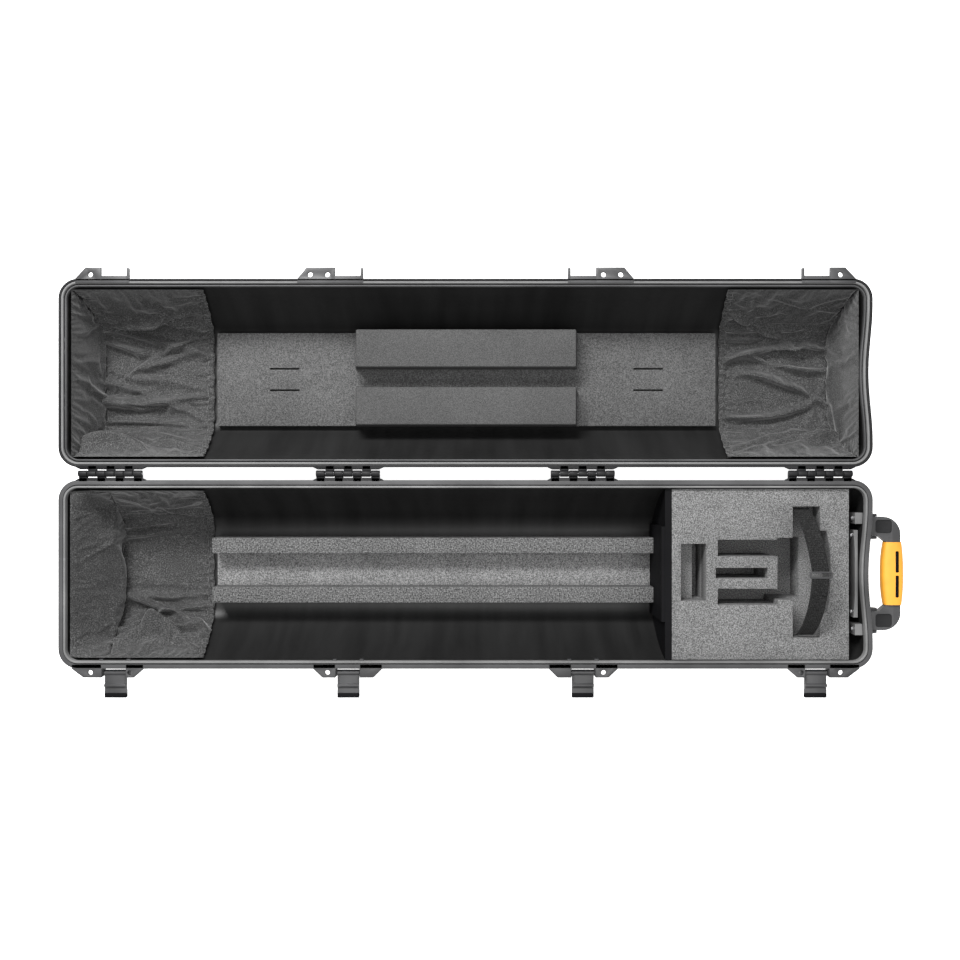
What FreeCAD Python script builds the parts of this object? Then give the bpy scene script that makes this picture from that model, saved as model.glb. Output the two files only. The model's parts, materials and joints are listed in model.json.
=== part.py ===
import FreeCAD, Part
import math
import os
import re
import Sketcher

# A long wheeled carry case, lying open flat: the base half on the -Y side of the hinges and the lid
# half on the +Y side, with foam and fabric linings, four latches, an end handle and two wheels.
# Sizes are written in the hinge frame: X from the middle of the shell towards the handle, Y from the
# hinge axis towards the lid, Z from the surface that the case lies on.  Every delivered part is then
# placed so that the origin is under the middle of the whole open case.

Vector = FreeCAD.Vector

SIZES = {
    # the two shell halves
    "rim_length": 1390, "rim_width": 322, "rim_height": 143, "half_centre": 172,
    "corner_radius": 34, "waist_depth": 7.3, "waist_span": 59, "waist_outer": 100,
    "seam_gap": 0.4, "wall": 4, "opening_inset": 13.6, "floor_inside": 8, "floor_half": 85,
    "bulge_radius": 257, "end_round": 16, "base_flange": 6, "lid_flange": 10,
    "tongue_inset": 9.9, "tongue_width": 3.6, "tongue_rise": 2.6, "line_inset": 8.2,
    "line_width": 1.3, "line_depth": 1.4, "seal_inset": 4.2, "seal_groove": 6.4, "seal_width": 4.3,
    "seal_floor": 6.4, "seal_top": 1, "lip_drop": 3.4,
    "skid_offset": 62, "skid_width": 18, "skid_length": 1240, "skid_shift": 20, "band_width": 18,
    "band_rise": 3, "band_drop": 12, "nub_proud": 2.2, "nub_foot": 60, "nub_root": 12,
    # hinges
    "knuckle_radius": 5.5, "knuckle_pitch": 15.6, "knuckle_gap": 0.6, "arm_reach": 14,
    "hinge_pin_radius": 2.5, "hinge_bore": 2.56, "outer_hinge": 605, "inner_hinge": 200,
    "shoulder_foot": 60, "shoulder_top": 52, "shoulder_root": 11, "shoulder_edge": 7,
    # latches, strikes and padlock holes
    "outer_latch": 600, "inner_latch": 201, "latch_axis": 341, "latch_height": 131,
    "latch_width": 37.5, "latch_reach": 43, "latch_thick": 5, "lip_length": 12, "lip_thick": 8,
    "latch_knuckle": 5, "latch_pin_radius": 2, "latch_bore": 2.06, "claw_start": 19.9,
    "claw_length": 6, "claw_rise": 6.4, "lug_inside": 19.3, "lug_outside": 27,
    "tab_start": 20.5, "tab_reach": 348, "strike_reach": 352, "strike_start": 21.5,
    "strike_strip": 337.6, "post_width": 5, "padlock_radius": 4.2, "padlock_line": 339.5,
    # end handle
    "handle_axis": 702, "handle_height": 118, "handle_pin_radius": 3, "handle_bore": 3.06,
    "handle_thick": 14, "arm_inside": 64.5, "arm_outside": 97.8, "bar_near": 724, "bar_far": 749,
    "grip_near": 717.5, "grip_far": 755, "grip_half": 54, "grip_thick": 24, "grip_round": 7,
    "handle_corner": 30, "ear_thick": 4.5, "ear_gap": 0.5, "ear_start": 683, "ear_end": 710,
    "ear_half": 9,
    "plate_near": 666.5, "plate_far": 673.7, "plate_half": 75, "block_near": 668,
    "block_far": 681, "block_inside": 86, "block_outside": 105, "screw_radius": 2.4,
    "screw_head": 4.6, "screw_head_high": 2.8, "inner_screw": 66, "outer_screw": 95.5,
    "plate_waist": 40, "plate_dip": 2.5, "plate_high": 11, "block_high": 14,
    "slot_near": 738.6, "slot_far": 744.3, "slot_depth": 3,
    # wheels
    "wheel_x": -668, "wheel_height": 28.5, "wheel_offset": 95, "tyre_radius": 24, "tyre_half": 13,
    "hub_radius": 17, "hub_half": 14, "bush_radius": 6, "bush_half": 17.5, "axle_radius": 4,
    "axle_bore": 4.06, "axle_half": 20.5, "well_half": 18, "well_skin": 3.5, "well_end": -640,
    "well_top": 57,
    # purge valve
    "valve_offset": -112, "valve_height": 78, "valve_radius": 11, "valve_thick": 4.6,
    "valve_cap_radius": 8, "valve_cap_thick": 4,
    # linings and foam
    "pouch_inner": 448, "pouch_outer": 672, "mouth_slant": 15, "pouch_skin": 5, "pouch_play": 0.8,
    "pouch_top": 133, "hem_width": 7, "hem_skin": 8, "ramp_foot": 632, "ramp_knee": 635,
    "ramp_top": 676, "knee_height": 66, "lid_foot": 666, "lid_knee": 670.5,
    "rail_start": -453.5, "rail_end": 334.5, "rail_half": 58, "ridge_width": 28,
    "trough_top": 26, "ridge_top": 63, "slab_half": 84.6, "slab_top": 28, "slab_block_top": 73,
    "slab_block_half": 201.5, "slab_block_gap": 18, "slit_length": 54, "slit_width": 3,
    "slit_offset": 19.5, "slit_centre": 331,
    "board_near": 341, "board_far": 352, "doubler_near": 335, "doubler_half": 81.5,
    "foam_near": 352.6, "foam_far": 655, "foam_top": 139, "foam_middle": 100, "foam_low": 52,
    "foam_play": 0.6, "step_deep": 395, "step_shallow": 368, "step_far": 411.6,
    "step_front": -217.6, "step_rear": -120, "hollow_near": 559, "hollow_end": 606,
    "hollow_far": 617, "hollow_bulge": 357, "hollow_front": -280.4, "hollow_rear": -56,
    "hollow_step_front": -238.9, "hollow_step_rear": -97.4,
    # strap over the cradle
    "strap_x": 588, "strap_width": 28, "strap_thick": 2, "strap_y": -168,
    "strap_radius": 122, "strap_peak": 195, "ring_length": 38, "ring_width": 12, "ring_thick": 3,
    "ring_bar": 3,
    # from the hinge frame to the middle of the whole case
    "origin_x": 28.9, "origin_y": -16,
}

doc = FreeCAD.newDocument("carry_case")
sheet = doc.addObject("Spreadsheet::Sheet", "Sizes")
for row, (alias, number) in enumerate(SIZES.items(), start=1):
    sheet.set(f"A{row}", alias)
    sheet.set(f"B{row}", str(number))
    sheet.setAlias(f"B{row}", alias)
doc.recompute()

PLANES = {
    "XY": (FreeCAD.Rotation(), Vector(0, 0, 1), "z"),
    "YZ": (FreeCAD.Rotation(Vector(1, 1, 1), 120), Vector(1, 0, 0), "x"),
    "XZ": (FreeCAD.Rotation(Vector(1, 0, 0), 90), Vector(0, 1, 0), "y"),
}
AXES = {
    "x": FreeCAD.Rotation(Vector(0, 1, 0), 90),
    "y": FreeCAD.Rotation(Vector(1, 0, 0), -90),
    "z": FreeCAD.Rotation(),
}
delivered = []


# ---------------------------------------------------------------- building blocks
def cells(text):
    """The expression with every size's name pointed at its cell."""
    def point(word):
        return "Sizes." + word.group() if word.group() in SIZES else word.group()
    return re.sub(r"[a-z][a-z_]+", point, str(text))


def number_of(text):
    return float(sheet.evalExpression(cells(text)))


def bind(thing, **sizes):
    for name, text in sizes.items():
        thing.setExpression(name, cells(text))
    return thing


def move(thing, x="0", y="0", z="0"):
    for axis, text in zip("xyz", (x, y, z)):
        thing.setExpression(f"Placement.Base.{axis}", cells(text))
    return thing


def box(name, x, y, z):
    """A block between two planes on each axis."""
    made = doc.addObject("Part::Box", name)
    for size, (start, end) in zip(("Length", "Width", "Height"), (x, y, z)):
        made.setExpression(size, cells(f"({end}) - ({start})"))
    return move(made, x[0], y[0], z[0])


def rod(name, axis, centre, radius, length):
    """A cylinder along an axis, centred on a point."""
    made = bind(doc.addObject("Part::Cylinder", name), Radius=radius, Height=length)
    made.Placement = FreeCAD.Placement(Vector(), AXES[axis])
    start = [f"({c}) - ({length}) / 2" if a == axis else c for a, c in zip("xyz", centre)]
    return move(made, *start)


def draw(outline, corners):
    """Fill a sketch with a closed outline whose corners are bound to the sheet.  A corner is (x, y)
    or (x, y, radius, side): the edge that leaves it is then an arc that bulges 'out' or 'in' on a
    counter-clockwise outline."""
    points = [Vector(number_of(c[0]), number_of(c[1]), 0) for c in corners]
    ends = []
    for index, corner in enumerate(corners):
        start, stop = points[index], points[(index + 1) % len(points)]
        if len(corner) == 2:
            outline.addGeometry(Part.LineSegment(start, stop))
            ends.append((1, 2))
            continue
        chord = stop - start
        radius = number_of(corner[2])
        rise = radius - math.sqrt(max(radius ** 2 - (chord.Length / 2) ** 2, 0))
        outward = Vector(chord.y, -chord.x, 0).normalize()
        if corner[3] == "out":
            crown = (start + stop) / 2 + outward * rise
            outline.addGeometry(Part.Arc(start, crown, stop))
            ends.append((1, 2))
        else:
            crown = (start + stop) / 2 - outward * rise
            outline.addGeometry(Part.Arc(stop, crown, start))
            ends.append((2, 1))
    for index, corner in enumerate(corners):
        following = (index + 1) % len(corners)
        outline.addConstraint(Sketcher.Constraint(
            "Coincident", index, ends[index][1], following, ends[following][0]))
        for kind, text, place in (("DistanceX", corner[0], points[index].x),
                                  ("DistanceY", corner[1], points[index].y)):
            rule = outline.addConstraint(Sketcher.Constraint(
                kind, -1, 1, index, ends[index][0], place))
            outline.setExpression(f"Constraints[{rule}]", cells(text))
        if len(corner) == 4:
            rule = outline.addConstraint(Sketcher.Constraint("Radius", index, number_of(corner[2])))
            outline.setExpression(f"Constraints[{rule}]", cells(corner[2]))


def prism(name, plane, corners, start, end):
    """An outline in a plane, pushed from one distance to another along the plane's axis."""
    turn, along, axis = PLANES[plane]
    outline = doc.addObject("Sketcher::SketchObject", name + "_outline")
    draw(outline, corners)
    outline.Placement = FreeCAD.Placement(Vector(), turn)
    outline.setExpression(f"Placement.Base.{axis}", cells(start))
    made = doc.addObject("Part::Extrusion", name)
    made.Base = outline
    made.DirMode = "Custom"
    made.Dir = along
    made.Solid = True
    return bind(made, LengthFwd=f"({end}) - ({start})")


def join(name, shapes):
    made = doc.addObject("Part::MultiFuse", name)
    made.Shapes = shapes
    return made


def common(name, shapes):
    made = doc.addObject("Part::MultiCommon", name)
    made.Shapes = shapes
    return made


def cut(name, base, tools):
    made = doc.addObject("Part::Cut", name)
    made.Base = base
    made.Tool = tools[0] if len(tools) == 1 else join(name + "_tools", tools)
    return made


def deliver(label, made):
    """Name a finished part and place it in the frame of the whole case."""
    made.Label = label
    own = {path.lstrip("."): text for path, text in made.ExpressionEngine}
    for axis in "xy":
        path = f"Placement.Base.{axis}"
        made.setExpression(path, f"({own.get(path, '0')}) - Sizes.origin_{axis}")
    delivered.append(made)
    return made


def body_sketch(body, name, plane, corners):
    outline = body.newObject("Sketcher::SketchObject", name)
    support = [f for f in body.Origin.OriginFeatures if f.Role == plane][0]
    outline.AttachmentSupport = [(support, "")]
    outline.MapMode = "FlatFace"
    draw(outline, corners)
    return outline


def circle_sketch(body, name, radius):
    """A circle round the body's own origin, across its X axis."""
    outline = body.newObject("Sketcher::SketchObject", name)
    support = [f for f in body.Origin.OriginFeatures if f.Role == "YZ_Plane"][0]
    outline.AttachmentSupport = [(support, "")]
    outline.MapMode = "FlatFace"
    outline.addGeometry(Part.Circle(Vector(), Vector(0, 0, 1), SIZES[radius]))
    outline.addConstraint(Sketcher.Constraint("Coincident", 0, 3, -1, 1))
    outline.addConstraint(Sketcher.Constraint("Radius", 0, SIZES[radius]))
    outline.setExpression("Constraints[1]", cells(radius))
    return outline


def turned(name, corners):
    """A PartDesign body turned about its own Y axis from an outline of (radius, height)."""
    body = doc.addObject("PartDesign::Body", name)
    outline = body_sketch(body, name + "_section", "XY_Plane", corners)
    ring = body.newObject("PartDesign::Revolution", name + "_turn")
    ring.Profile = outline
    ring.ReferenceAxis = (outline, ["V_Axis"])
    ring.Angle = 360
    return body


# ---------------------------------------------------------------- outlines of the shell
def rim_outline(side, inset):
    """The rim in plan, brought in by an inset: round corners and a waist at the handle end."""
    far = f"(rim_length / 2 - {inset})"
    wide = f"(rim_width / 2 - {inset})"
    corner = f"(corner_radius - {inset})"
    middle = f"{side} * half_centre"
    spread = "((waist_depth ^ 2 + waist_span ^ 2) / (2 * waist_depth))"
    outer = f"(waist_outer - {inset})"
    hollow = f"({spread} - waist_outer + {inset})"
    turn_x = f"rim_length / 2 - waist_outer + {outer} * ({spread} - waist_depth) / {spread}"
    turn_y = f"(waist_span - {outer} * waist_span / {spread})"
    return [
        (f"-{far} + {corner}", f"{middle} - {wide}"),
        (f"{far} - {corner}", f"{middle} - {wide}", corner, "out"),
        (far, f"{middle} - {wide} + {corner}"),
        (far, f"{middle} - waist_span", outer, "out"),
        (turn_x, f"{middle} - {turn_y}", hollow, "in"),
        (turn_x, f"{middle} + {turn_y}", outer, "out"),
        (far, f"{middle} + waist_span"),
        (far, f"{middle} + {wide} - {corner}", corner, "out"),
        (f"{far} - {corner}", f"{middle} + {wide}"),
        (f"-{far} + {corner}", f"{middle} + {wide}", corner, "out"),
        (f"-{far}", f"{middle} + {wide} - {corner}"),
        (f"-{far}", f"{middle} - {wide} + {corner}", corner, "out"),
    ]


def barrel_outline(side, grow, top):
    """The bowed cross-section inside the shell, grown outward by a distance, up to a height."""
    middle = f"{side} * half_centre"
    wide = f"(rim_width / 2 - opening_inset + ({grow}))"
    flat = f"(floor_half + ({grow}) * 0.6)"
    floor = f"floor_inside - ({grow})"
    bow = f"bulge_radius + ({grow})"
    return [
        (f"{middle} - {flat}", floor),
        (f"{middle} + {flat}", floor, bow, "out"),
        (f"{middle} + {wide}", "rim_height"),
        (f"{middle} + {wide}", top),
        (f"{middle} - {wide}", top),
        (f"{middle} - {wide}", "rim_height", bow, "out"),
    ]


def low_barrel_outline(side, grow, top):
    """The same cross-section, ended below the rim by a straight line at a height."""
    middle = f"{side} * half_centre"
    bow = f"(bulge_radius + ({grow}))"
    wide = f"(rim_width / 2 - opening_inset + ({grow}))"
    flat = f"(floor_half + ({grow}) * 0.6)"
    rise = f"(rim_height - floor_inside + ({grow}))"
    chord = f"(({wide} - {flat}) ^ 2 + {rise} ^ 2)"
    sink = f"sqrt({bow} ^ 2 / {chord} - 0.25)"
    centre_y = f"(({wide} + {flat}) / 2 - {rise} * {sink})"
    centre_z = f"(rim_height - {rise} / 2 + ({wide} - {flat}) * {sink})"
    edge = f"({centre_y} + sqrt({bow} ^ 2 - ({top} - {centre_z}) ^ 2))"
    floor = f"floor_inside - ({grow})"
    return [
        (f"{middle} - {flat}", floor),
        (f"{middle} + {flat}", floor, bow, "out"),
        (f"{middle} + {edge}", top),
        (f"{middle} - {edge}", top, bow, "out"),
    ]


def keel_outline(grow, top):
    """The shell from the side: straight ends, rounded into the floor."""
    far = f"(rim_length / 2 - opening_inset + ({grow}))"
    floor = f"floor_inside - ({grow})"
    bend = f"(end_round + ({grow}) - 4)"
    return [
        (f"-{far} + {bend}", floor),
        (f"{far} - {bend}", floor, bend, "out"),
        (far, f"{floor} + {bend}"),
        (far, top),
        (f"-{far}", top),
        (f"-{far}", f"{floor} + {bend}", bend, "out"),
    ]


def tub(name, side, grow, top):
    """The body of one half, as a solid: cross-section, plan and side outline in common."""
    far = "rim_length / 2"
    return common(name, [
        prism(name + "_barrel", "YZ", barrel_outline(side, grow, top), f"-{far}", far),
        prism(name + "_plan", "XY", rim_outline(side, f"(opening_inset - ({grow}))"), "-5", top),
        prism(name + "_keel", "XZ", keel_outline(grow, top),
              f"{side} * half_centre - rim_width / 2", f"{side} * half_centre + rim_width / 2"),
    ])


def rim_ring(name, side, inset, width, bottom, top):
    outer = prism(name + "_outer", "XY", rim_outline(side, inset), bottom, top)
    inner = prism(name + "_inner", "XY", rim_outline(side, f"({inset} + {width})"), bottom, top)
    return cut(name, outer, [inner])


# ---------------------------------------------------------------- fittings moulded on the shells
HINGES = ("-outer_hinge", "-inner_hinge", "inner_hinge", "outer_hinge")
LATCHES = ("-outer_latch", "-inner_latch", "inner_latch", "outer_latch")
KNUCKLES = 7
# distances from a latch's middle: top corner, foot corner, padlock holes
BASE_TABS = {"outer": ((52, 72, (40,)), (34, 51, (27.5,))),
             "inner": ((43, 59, (34.5,)), (44, 59, ()))}
LID_TABS = {"outer": (48, 66, (40,)), "inner": (70, 86, (34.5, 64))}
# bands round the outside along X, nubs along the left end and slots along the grip, from its middle
BANDS = (-500, -300, -100, 100, 300, 500)
NUBS = ((108, 115), (128.5, 135.5), (203.5, 212), (224, 232.4))
GRIP_SLOTS = ((2, 39), (-41, -3))
# straight pockets of the foam block: X from and to, then Y from and to
POCKETS = ((431, 534, -141.6, -113), (427.6, 516.3, -179.3, -161), (431, 534, -224.6, -196.7),
           (533, 581.5, -215.9, -109.6))


def knuckle_shapes(side, first):
    """Every second knuckle of each hinge, from the first given, with its arm to the rim."""
    solids = []
    for hinge in HINGES:
        for index in range(first, KNUCKLES, 2):
            start = f"{hinge} + ({index} - {KNUCKLES} / 2) * knuckle_pitch"
            width = "(knuckle_pitch - knuckle_gap)"
            centre = f"{start} + {width} / 2"
            solids.append(rod("knuckle", "x", (centre, "0", "rim_height"), "knuckle_radius", width))
            reach = ("0", "arm_reach") if side > 0 else ("-arm_reach", "0")
            solids.append(box("knuckle_arm", (start, f"{start} + {width}"), reach,
                              ("rim_height - knuckle_radius", "rim_height - seam_gap")))
    return solids


def hinge_plates(side):
    """The sloped shoulders that carry each hinge's knuckles, just outside the rim's edge."""
    solids = []
    near, out = f"{side} * shoulder_root", f"{side} * shoulder_edge"
    for hinge in HINGES:
        outline = [(f"{hinge} - shoulder_foot", near), (f"{hinge} + shoulder_foot", near),
                   (f"{hinge} + shoulder_top", out), (f"{hinge} - shoulder_top", out)]
        if side > 0:
            outline.reverse()
        solids.append(prism("hinge_plate", "XY", outline,
                            "rim_height - base_flange", "rim_height - seam_gap"))
    return solids


def hinge_bores():
    return [rod("hinge_bore", "x", (hinge, "0", "rim_height"), "hinge_bore", "knuckle_pitch * 8")
            for hinge in HINGES]


def tab_prism(name, latch, hand, side, start, top, foot, reach, bottom):
    """A tab outside the rim: square at the latch, sloped on its far end."""
    root = f"{side} * (half_centre + rim_width / 2 - 8)"
    tip = f"{side} * ({reach})"
    corners = [(f"{latch} + {hand} * ({start})", root), (f"{latch} + {hand} * {foot}", root),
               (f"{latch} + {hand} * {top}", tip), (f"{latch} + {hand} * ({start})", tip)]
    if hand * side < 0:
        corners.reverse()
    return prism(name, "XY", corners, bottom, "rim_height - seam_gap")


def latch_stations():
    """Each latch's middle, whether it is an outer or inner one, and the hand of its outer end."""
    for latch in LATCHES:
        kind = "outer" if "outer" in latch else "inner"
        yield latch, kind, -1 if latch.startswith("-") else 1


def base_latch_fittings():
    """Tabs, pin lugs and the holes through them, at the base's front edge."""
    solids, holes = [], []
    for latch, kind, outer_hand in latch_stations():
        for hand, (top, foot, drilled) in zip((outer_hand, -outer_hand), BASE_TABS[kind]):
            solids.append(tab_prism("base_tab", latch, hand, -1, "tab_start", top, foot,
                                    "tab_reach", "rim_height - base_flange"))
            inside, outside = f"{latch} + {hand} * lug_inside", f"{latch} + {hand} * lug_outside"
            across = (inside, outside) if hand > 0 else (outside, inside)
            solids.append(box("latch_lug", across, ("-latch_axis - 6", "-latch_axis + 24"),
                              ("latch_height - 6", "rim_height - base_flange + 1")))
            holes += [rod("padlock_hole", "z",
                          (f"{latch} + {hand * place}", "-padlock_line", "rim_height"),
                          "padlock_radius", "4 * base_flange") for place in drilled]
        holes.append(rod("latch_bore", "x", (latch, "-latch_axis", "latch_height"), "latch_bore",
                         "2 * lug_outside - 3"))
    return solids, holes


def lid_strikes():
    """The strips that the latches hook over, with a padlock tab on one side and a post on the
    other."""
    solids, holes = [], []
    for latch, kind, outer_hand in latch_stations():
        top, foot, drilled = LID_TABS[kind]
        solids.append(tab_prism("lid_tab", latch, outer_hand, 1, "strike_start", top, foot,
                                "strike_reach", "rim_height - base_flange"))
        post = f"{latch} + {-outer_hand} * (strike_start + post_width / 2)"
        edge = "half_centre + rim_width / 2 - 8"
        solids.append(box("strike_post", (f"{post} - post_width / 2", f"{post} + post_width / 2"),
                          (edge, "strike_reach - 1"),
                          ("rim_height - base_flange", "rim_height - seam_gap")))
        solids.append(box("strike_strip", (f"{latch} - strike_start - 1", f"{latch} + strike_start + 1"),
                          (edge, "strike_strip"),
                          ("rim_height - base_flange", "rim_height - seam_gap")))
        holes += [rod("padlock_hole", "z",
                      (f"{latch} + {outer_hand * place}", "padlock_line", "rim_height"),
                      "padlock_radius", "4 * base_flange") for place in drilled]
    return solids, holes


def outside_ribs(side):
    """Two long skids under the floor, bowed bands round the outside, and end nubs."""
    solids = []
    for hand in (-1, 1):
        middle = f"{side} * half_centre + {hand} * skid_offset"
        solids.append(box("skid", ("skid_shift - skid_length / 2", "skid_shift + skid_length / 2"),
                          (f"{middle} - skid_width / 2", f"{middle} + skid_width / 2"),
                          ("0", "floor_inside - wall + 0.5")))
    grown = "(wall + band_rise)"
    for place in BANDS:
        solids.append(prism("band", "YZ", low_barrel_outline(side, grown, "rim_height - band_drop"),
                            f"{place} - band_width / 2", f"{place} + band_width / 2"))
    for start, end in NUBS:
        along = (str(start), str(end)) if side > 0 else (str(-end), str(-start))
        solids.append(box("nub", ("-rim_length / 2 - nub_proud", "-rim_length / 2 + nub_root"), along,
                          ("nub_foot", "rim_height - base_flange + 1")))
    return solids


def wheel_centres():
    return [f"(-half_centre + {hand} * wheel_offset)" for hand in (-1, 1)]


# ---------------------------------------------------------------- base half
def base_shell():
    fittings, holes = base_latch_fittings()
    ears = []
    for hand in (-1, 1):
        for near, far in (("arm_inside - ear_gap - ear_thick", "arm_inside - ear_gap"),
                          ("arm_outside + ear_gap", "arm_outside + ear_gap + ear_thick")):
            edges = (f"-half_centre + {hand} * ({near})", f"-half_centre + {hand} * ({far})")
            ears.append(box("handle_ear", ("ear_start", "ear_end"),
                            edges if hand > 0 else edges[::-1],
                            ("handle_height - ear_half", "handle_height + ear_half")))
        holes.append(rod("handle_pin_bore", "y",
                         ("handle_axis", f"-half_centre + {hand} * (arm_inside + arm_outside) / 2",
                          "handle_height"), "handle_bore", "60"))
    flange = prism("base_rim", "XY", rim_outline(-1, "0"), "rim_height - base_flange",
                   "rim_height - seam_gap")
    tongue = rim_ring("tongue", -1, "tongue_inset", "tongue_width", "rim_height - seam_gap - 0.1",
                      "rim_height + tongue_rise")
    outside = join("base_outside", [tub("base_tub", -1, "wall", "rim_height - 2"), flange, tongue]
                   + outside_ribs(-1) + hinge_plates(-1) + knuckle_shapes(-1, 0) + fittings + ears)
    line = rim_ring("rim_line", -1, "line_inset", "line_width",
                    "rim_height - seam_gap - line_depth", "rim_height")
    hollow = tub("base_hollow", -1, "0", "rim_height + 5")
    shell = cut("base_tray", outside, [hollow, line] + holes + hinge_bores())
    houses = [box("wheel_house", ("-rim_length / 2 + 10.5", "well_end + well_skin"),
                  (f"{y} - well_half - well_skin", f"{y} + well_half + well_skin"),
                  ("floor_inside - wall + 0.2", "well_top + well_skin")) for y in wheel_centres()]
    wells = [box("wheel_well", ("-rim_length / 2 - 5", "well_end"),
                 (f"{y} - well_half", f"{y} + well_half"), ("-1", "well_top"))
             for y in wheel_centres()]
    bores = [rod("axle_bore", "y", ("wheel_x", y, "wheel_height"), "axle_bore", "2 * axle_half")
             for y in wheel_centres()]
    deliver("base_shell", cut("base_shell_cut", join("base_housed", [shell] + houses), wells + bores))


def hinge_pins():
    pins = [rod("hinge_pin", "x", (hinge, "0", "rim_height"), "hinge_pin_radius",
                f"knuckle_pitch * {KNUCKLES} - knuckle_gap") for hinge in HINGES]
    group = doc.addObject("Part::Compound", "hinge_pin_group")
    group.Links = pins
    deliver("hinge_pins", group)


def latch_pins():
    pins = [rod("latch_pin", "x", (latch, "-latch_axis", "latch_height"), "latch_pin_radius",
                "2 * lug_outside - 3.2") for latch in LATCHES]
    group = doc.addObject("Part::Compound", "latch_pin_group")
    group.Links = pins
    deliver("latch_pins", group)


def latch_lever(label, latch):
    """A latch arm, open and level: a knuckle on its pin, a flat arm, a thick lip and a claw."""
    half = "latch_thick / 2"
    body = doc.addObject("PartDesign::Body", label + "_body")
    arm = body_sketch(body, label + "_profile", "YZ_Plane", [
        ("-latch_reach", "-lip_thick / 2"), ("-latch_reach + lip_length", "-lip_thick / 2"),
        ("-latch_reach + lip_length + 3", f"-{half}"), ("0", f"-{half}"), ("0", half),
        ("-claw_start + 1.5", half), ("-claw_start", "claw_rise"),
        ("-claw_start - claw_length / 2", "claw_rise"), ("-claw_start - claw_length", half),
        ("-latch_reach + lip_length + 3", half), ("-latch_reach + lip_length", "lip_thick / 2 - 1"),
        ("-latch_reach", "lip_thick / 2 - 1")])
    slab = body.newObject("PartDesign::Pad", label + "_arm")
    slab.Profile = arm
    slab.Midplane = True
    bind(slab, Length="latch_width")
    eye = body.newObject("PartDesign::Pad", label + "_knuckle")
    eye.Profile = circle_sketch(body, label + "_eye", "latch_knuckle")
    eye.Midplane = True
    bind(eye, Length="latch_width")
    hole = body.newObject("PartDesign::Pocket", label + "_bore")
    hole.Profile = circle_sketch(body, label + "_bore_circle", "latch_bore")
    hole.Midplane = True
    bind(hole, Length="2 * latch_width")
    move(body, latch, "-latch_axis", "latch_height")
    deliver(label, body)


def wheel(number, y):
    """A rubber tyre on a plastic hub, with a flanged bush that runs on the axle."""
    tyre = turned(f"tyre_{number}_body", [
        ("hub_radius", "-tyre_half"), ("tyre_radius - 3", "-tyre_half"),
        ("tyre_radius", "-tyre_half + 4"), ("tyre_radius", "tyre_half - 4"),
        ("tyre_radius - 3", "tyre_half"), ("hub_radius", "tyre_half")])
    hub = turned(f"hub_{number}_body", [
        ("bush_radius", "-hub_half"), ("bush_radius + 4", "-hub_half"),
        ("bush_radius + 5", "-hub_half + 5"), ("hub_radius - 3", "-hub_half + 5"),
        ("hub_radius - 2.5", "-hub_half"), ("hub_radius", "-hub_half"),
        ("hub_radius", "hub_half"), ("hub_radius - 2.5", "hub_half"),
        ("hub_radius - 3", "hub_half - 5"), ("bush_radius + 5", "hub_half - 5"),
        ("bush_radius + 4", "hub_half"), ("bush_radius", "hub_half")])
    bush = turned(f"bush_{number}_body", [
        ("axle_bore", "-bush_half"), ("bush_radius + 2", "-bush_half"),
        ("bush_radius + 2", "-hub_half"), ("bush_radius", "-hub_half"),
        ("bush_radius", "hub_half"), ("bush_radius + 2", "hub_half"),
        ("bush_radius + 2", "bush_half"), ("axle_bore", "bush_half")])
    for label, body in ((f"wheel_tyre_{number}", tyre), (f"wheel_hub_{number}", hub),
                        (f"wheel_bush_{number}", bush)):
        deliver(label, move(body, "wheel_x", y, "wheel_height"))
    deliver(f"wheel_axle_{number}", rod("axle", "y", ("wheel_x", y, "wheel_height"),
                                        "axle_radius", "2 * axle_half - 0.2"))


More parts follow.
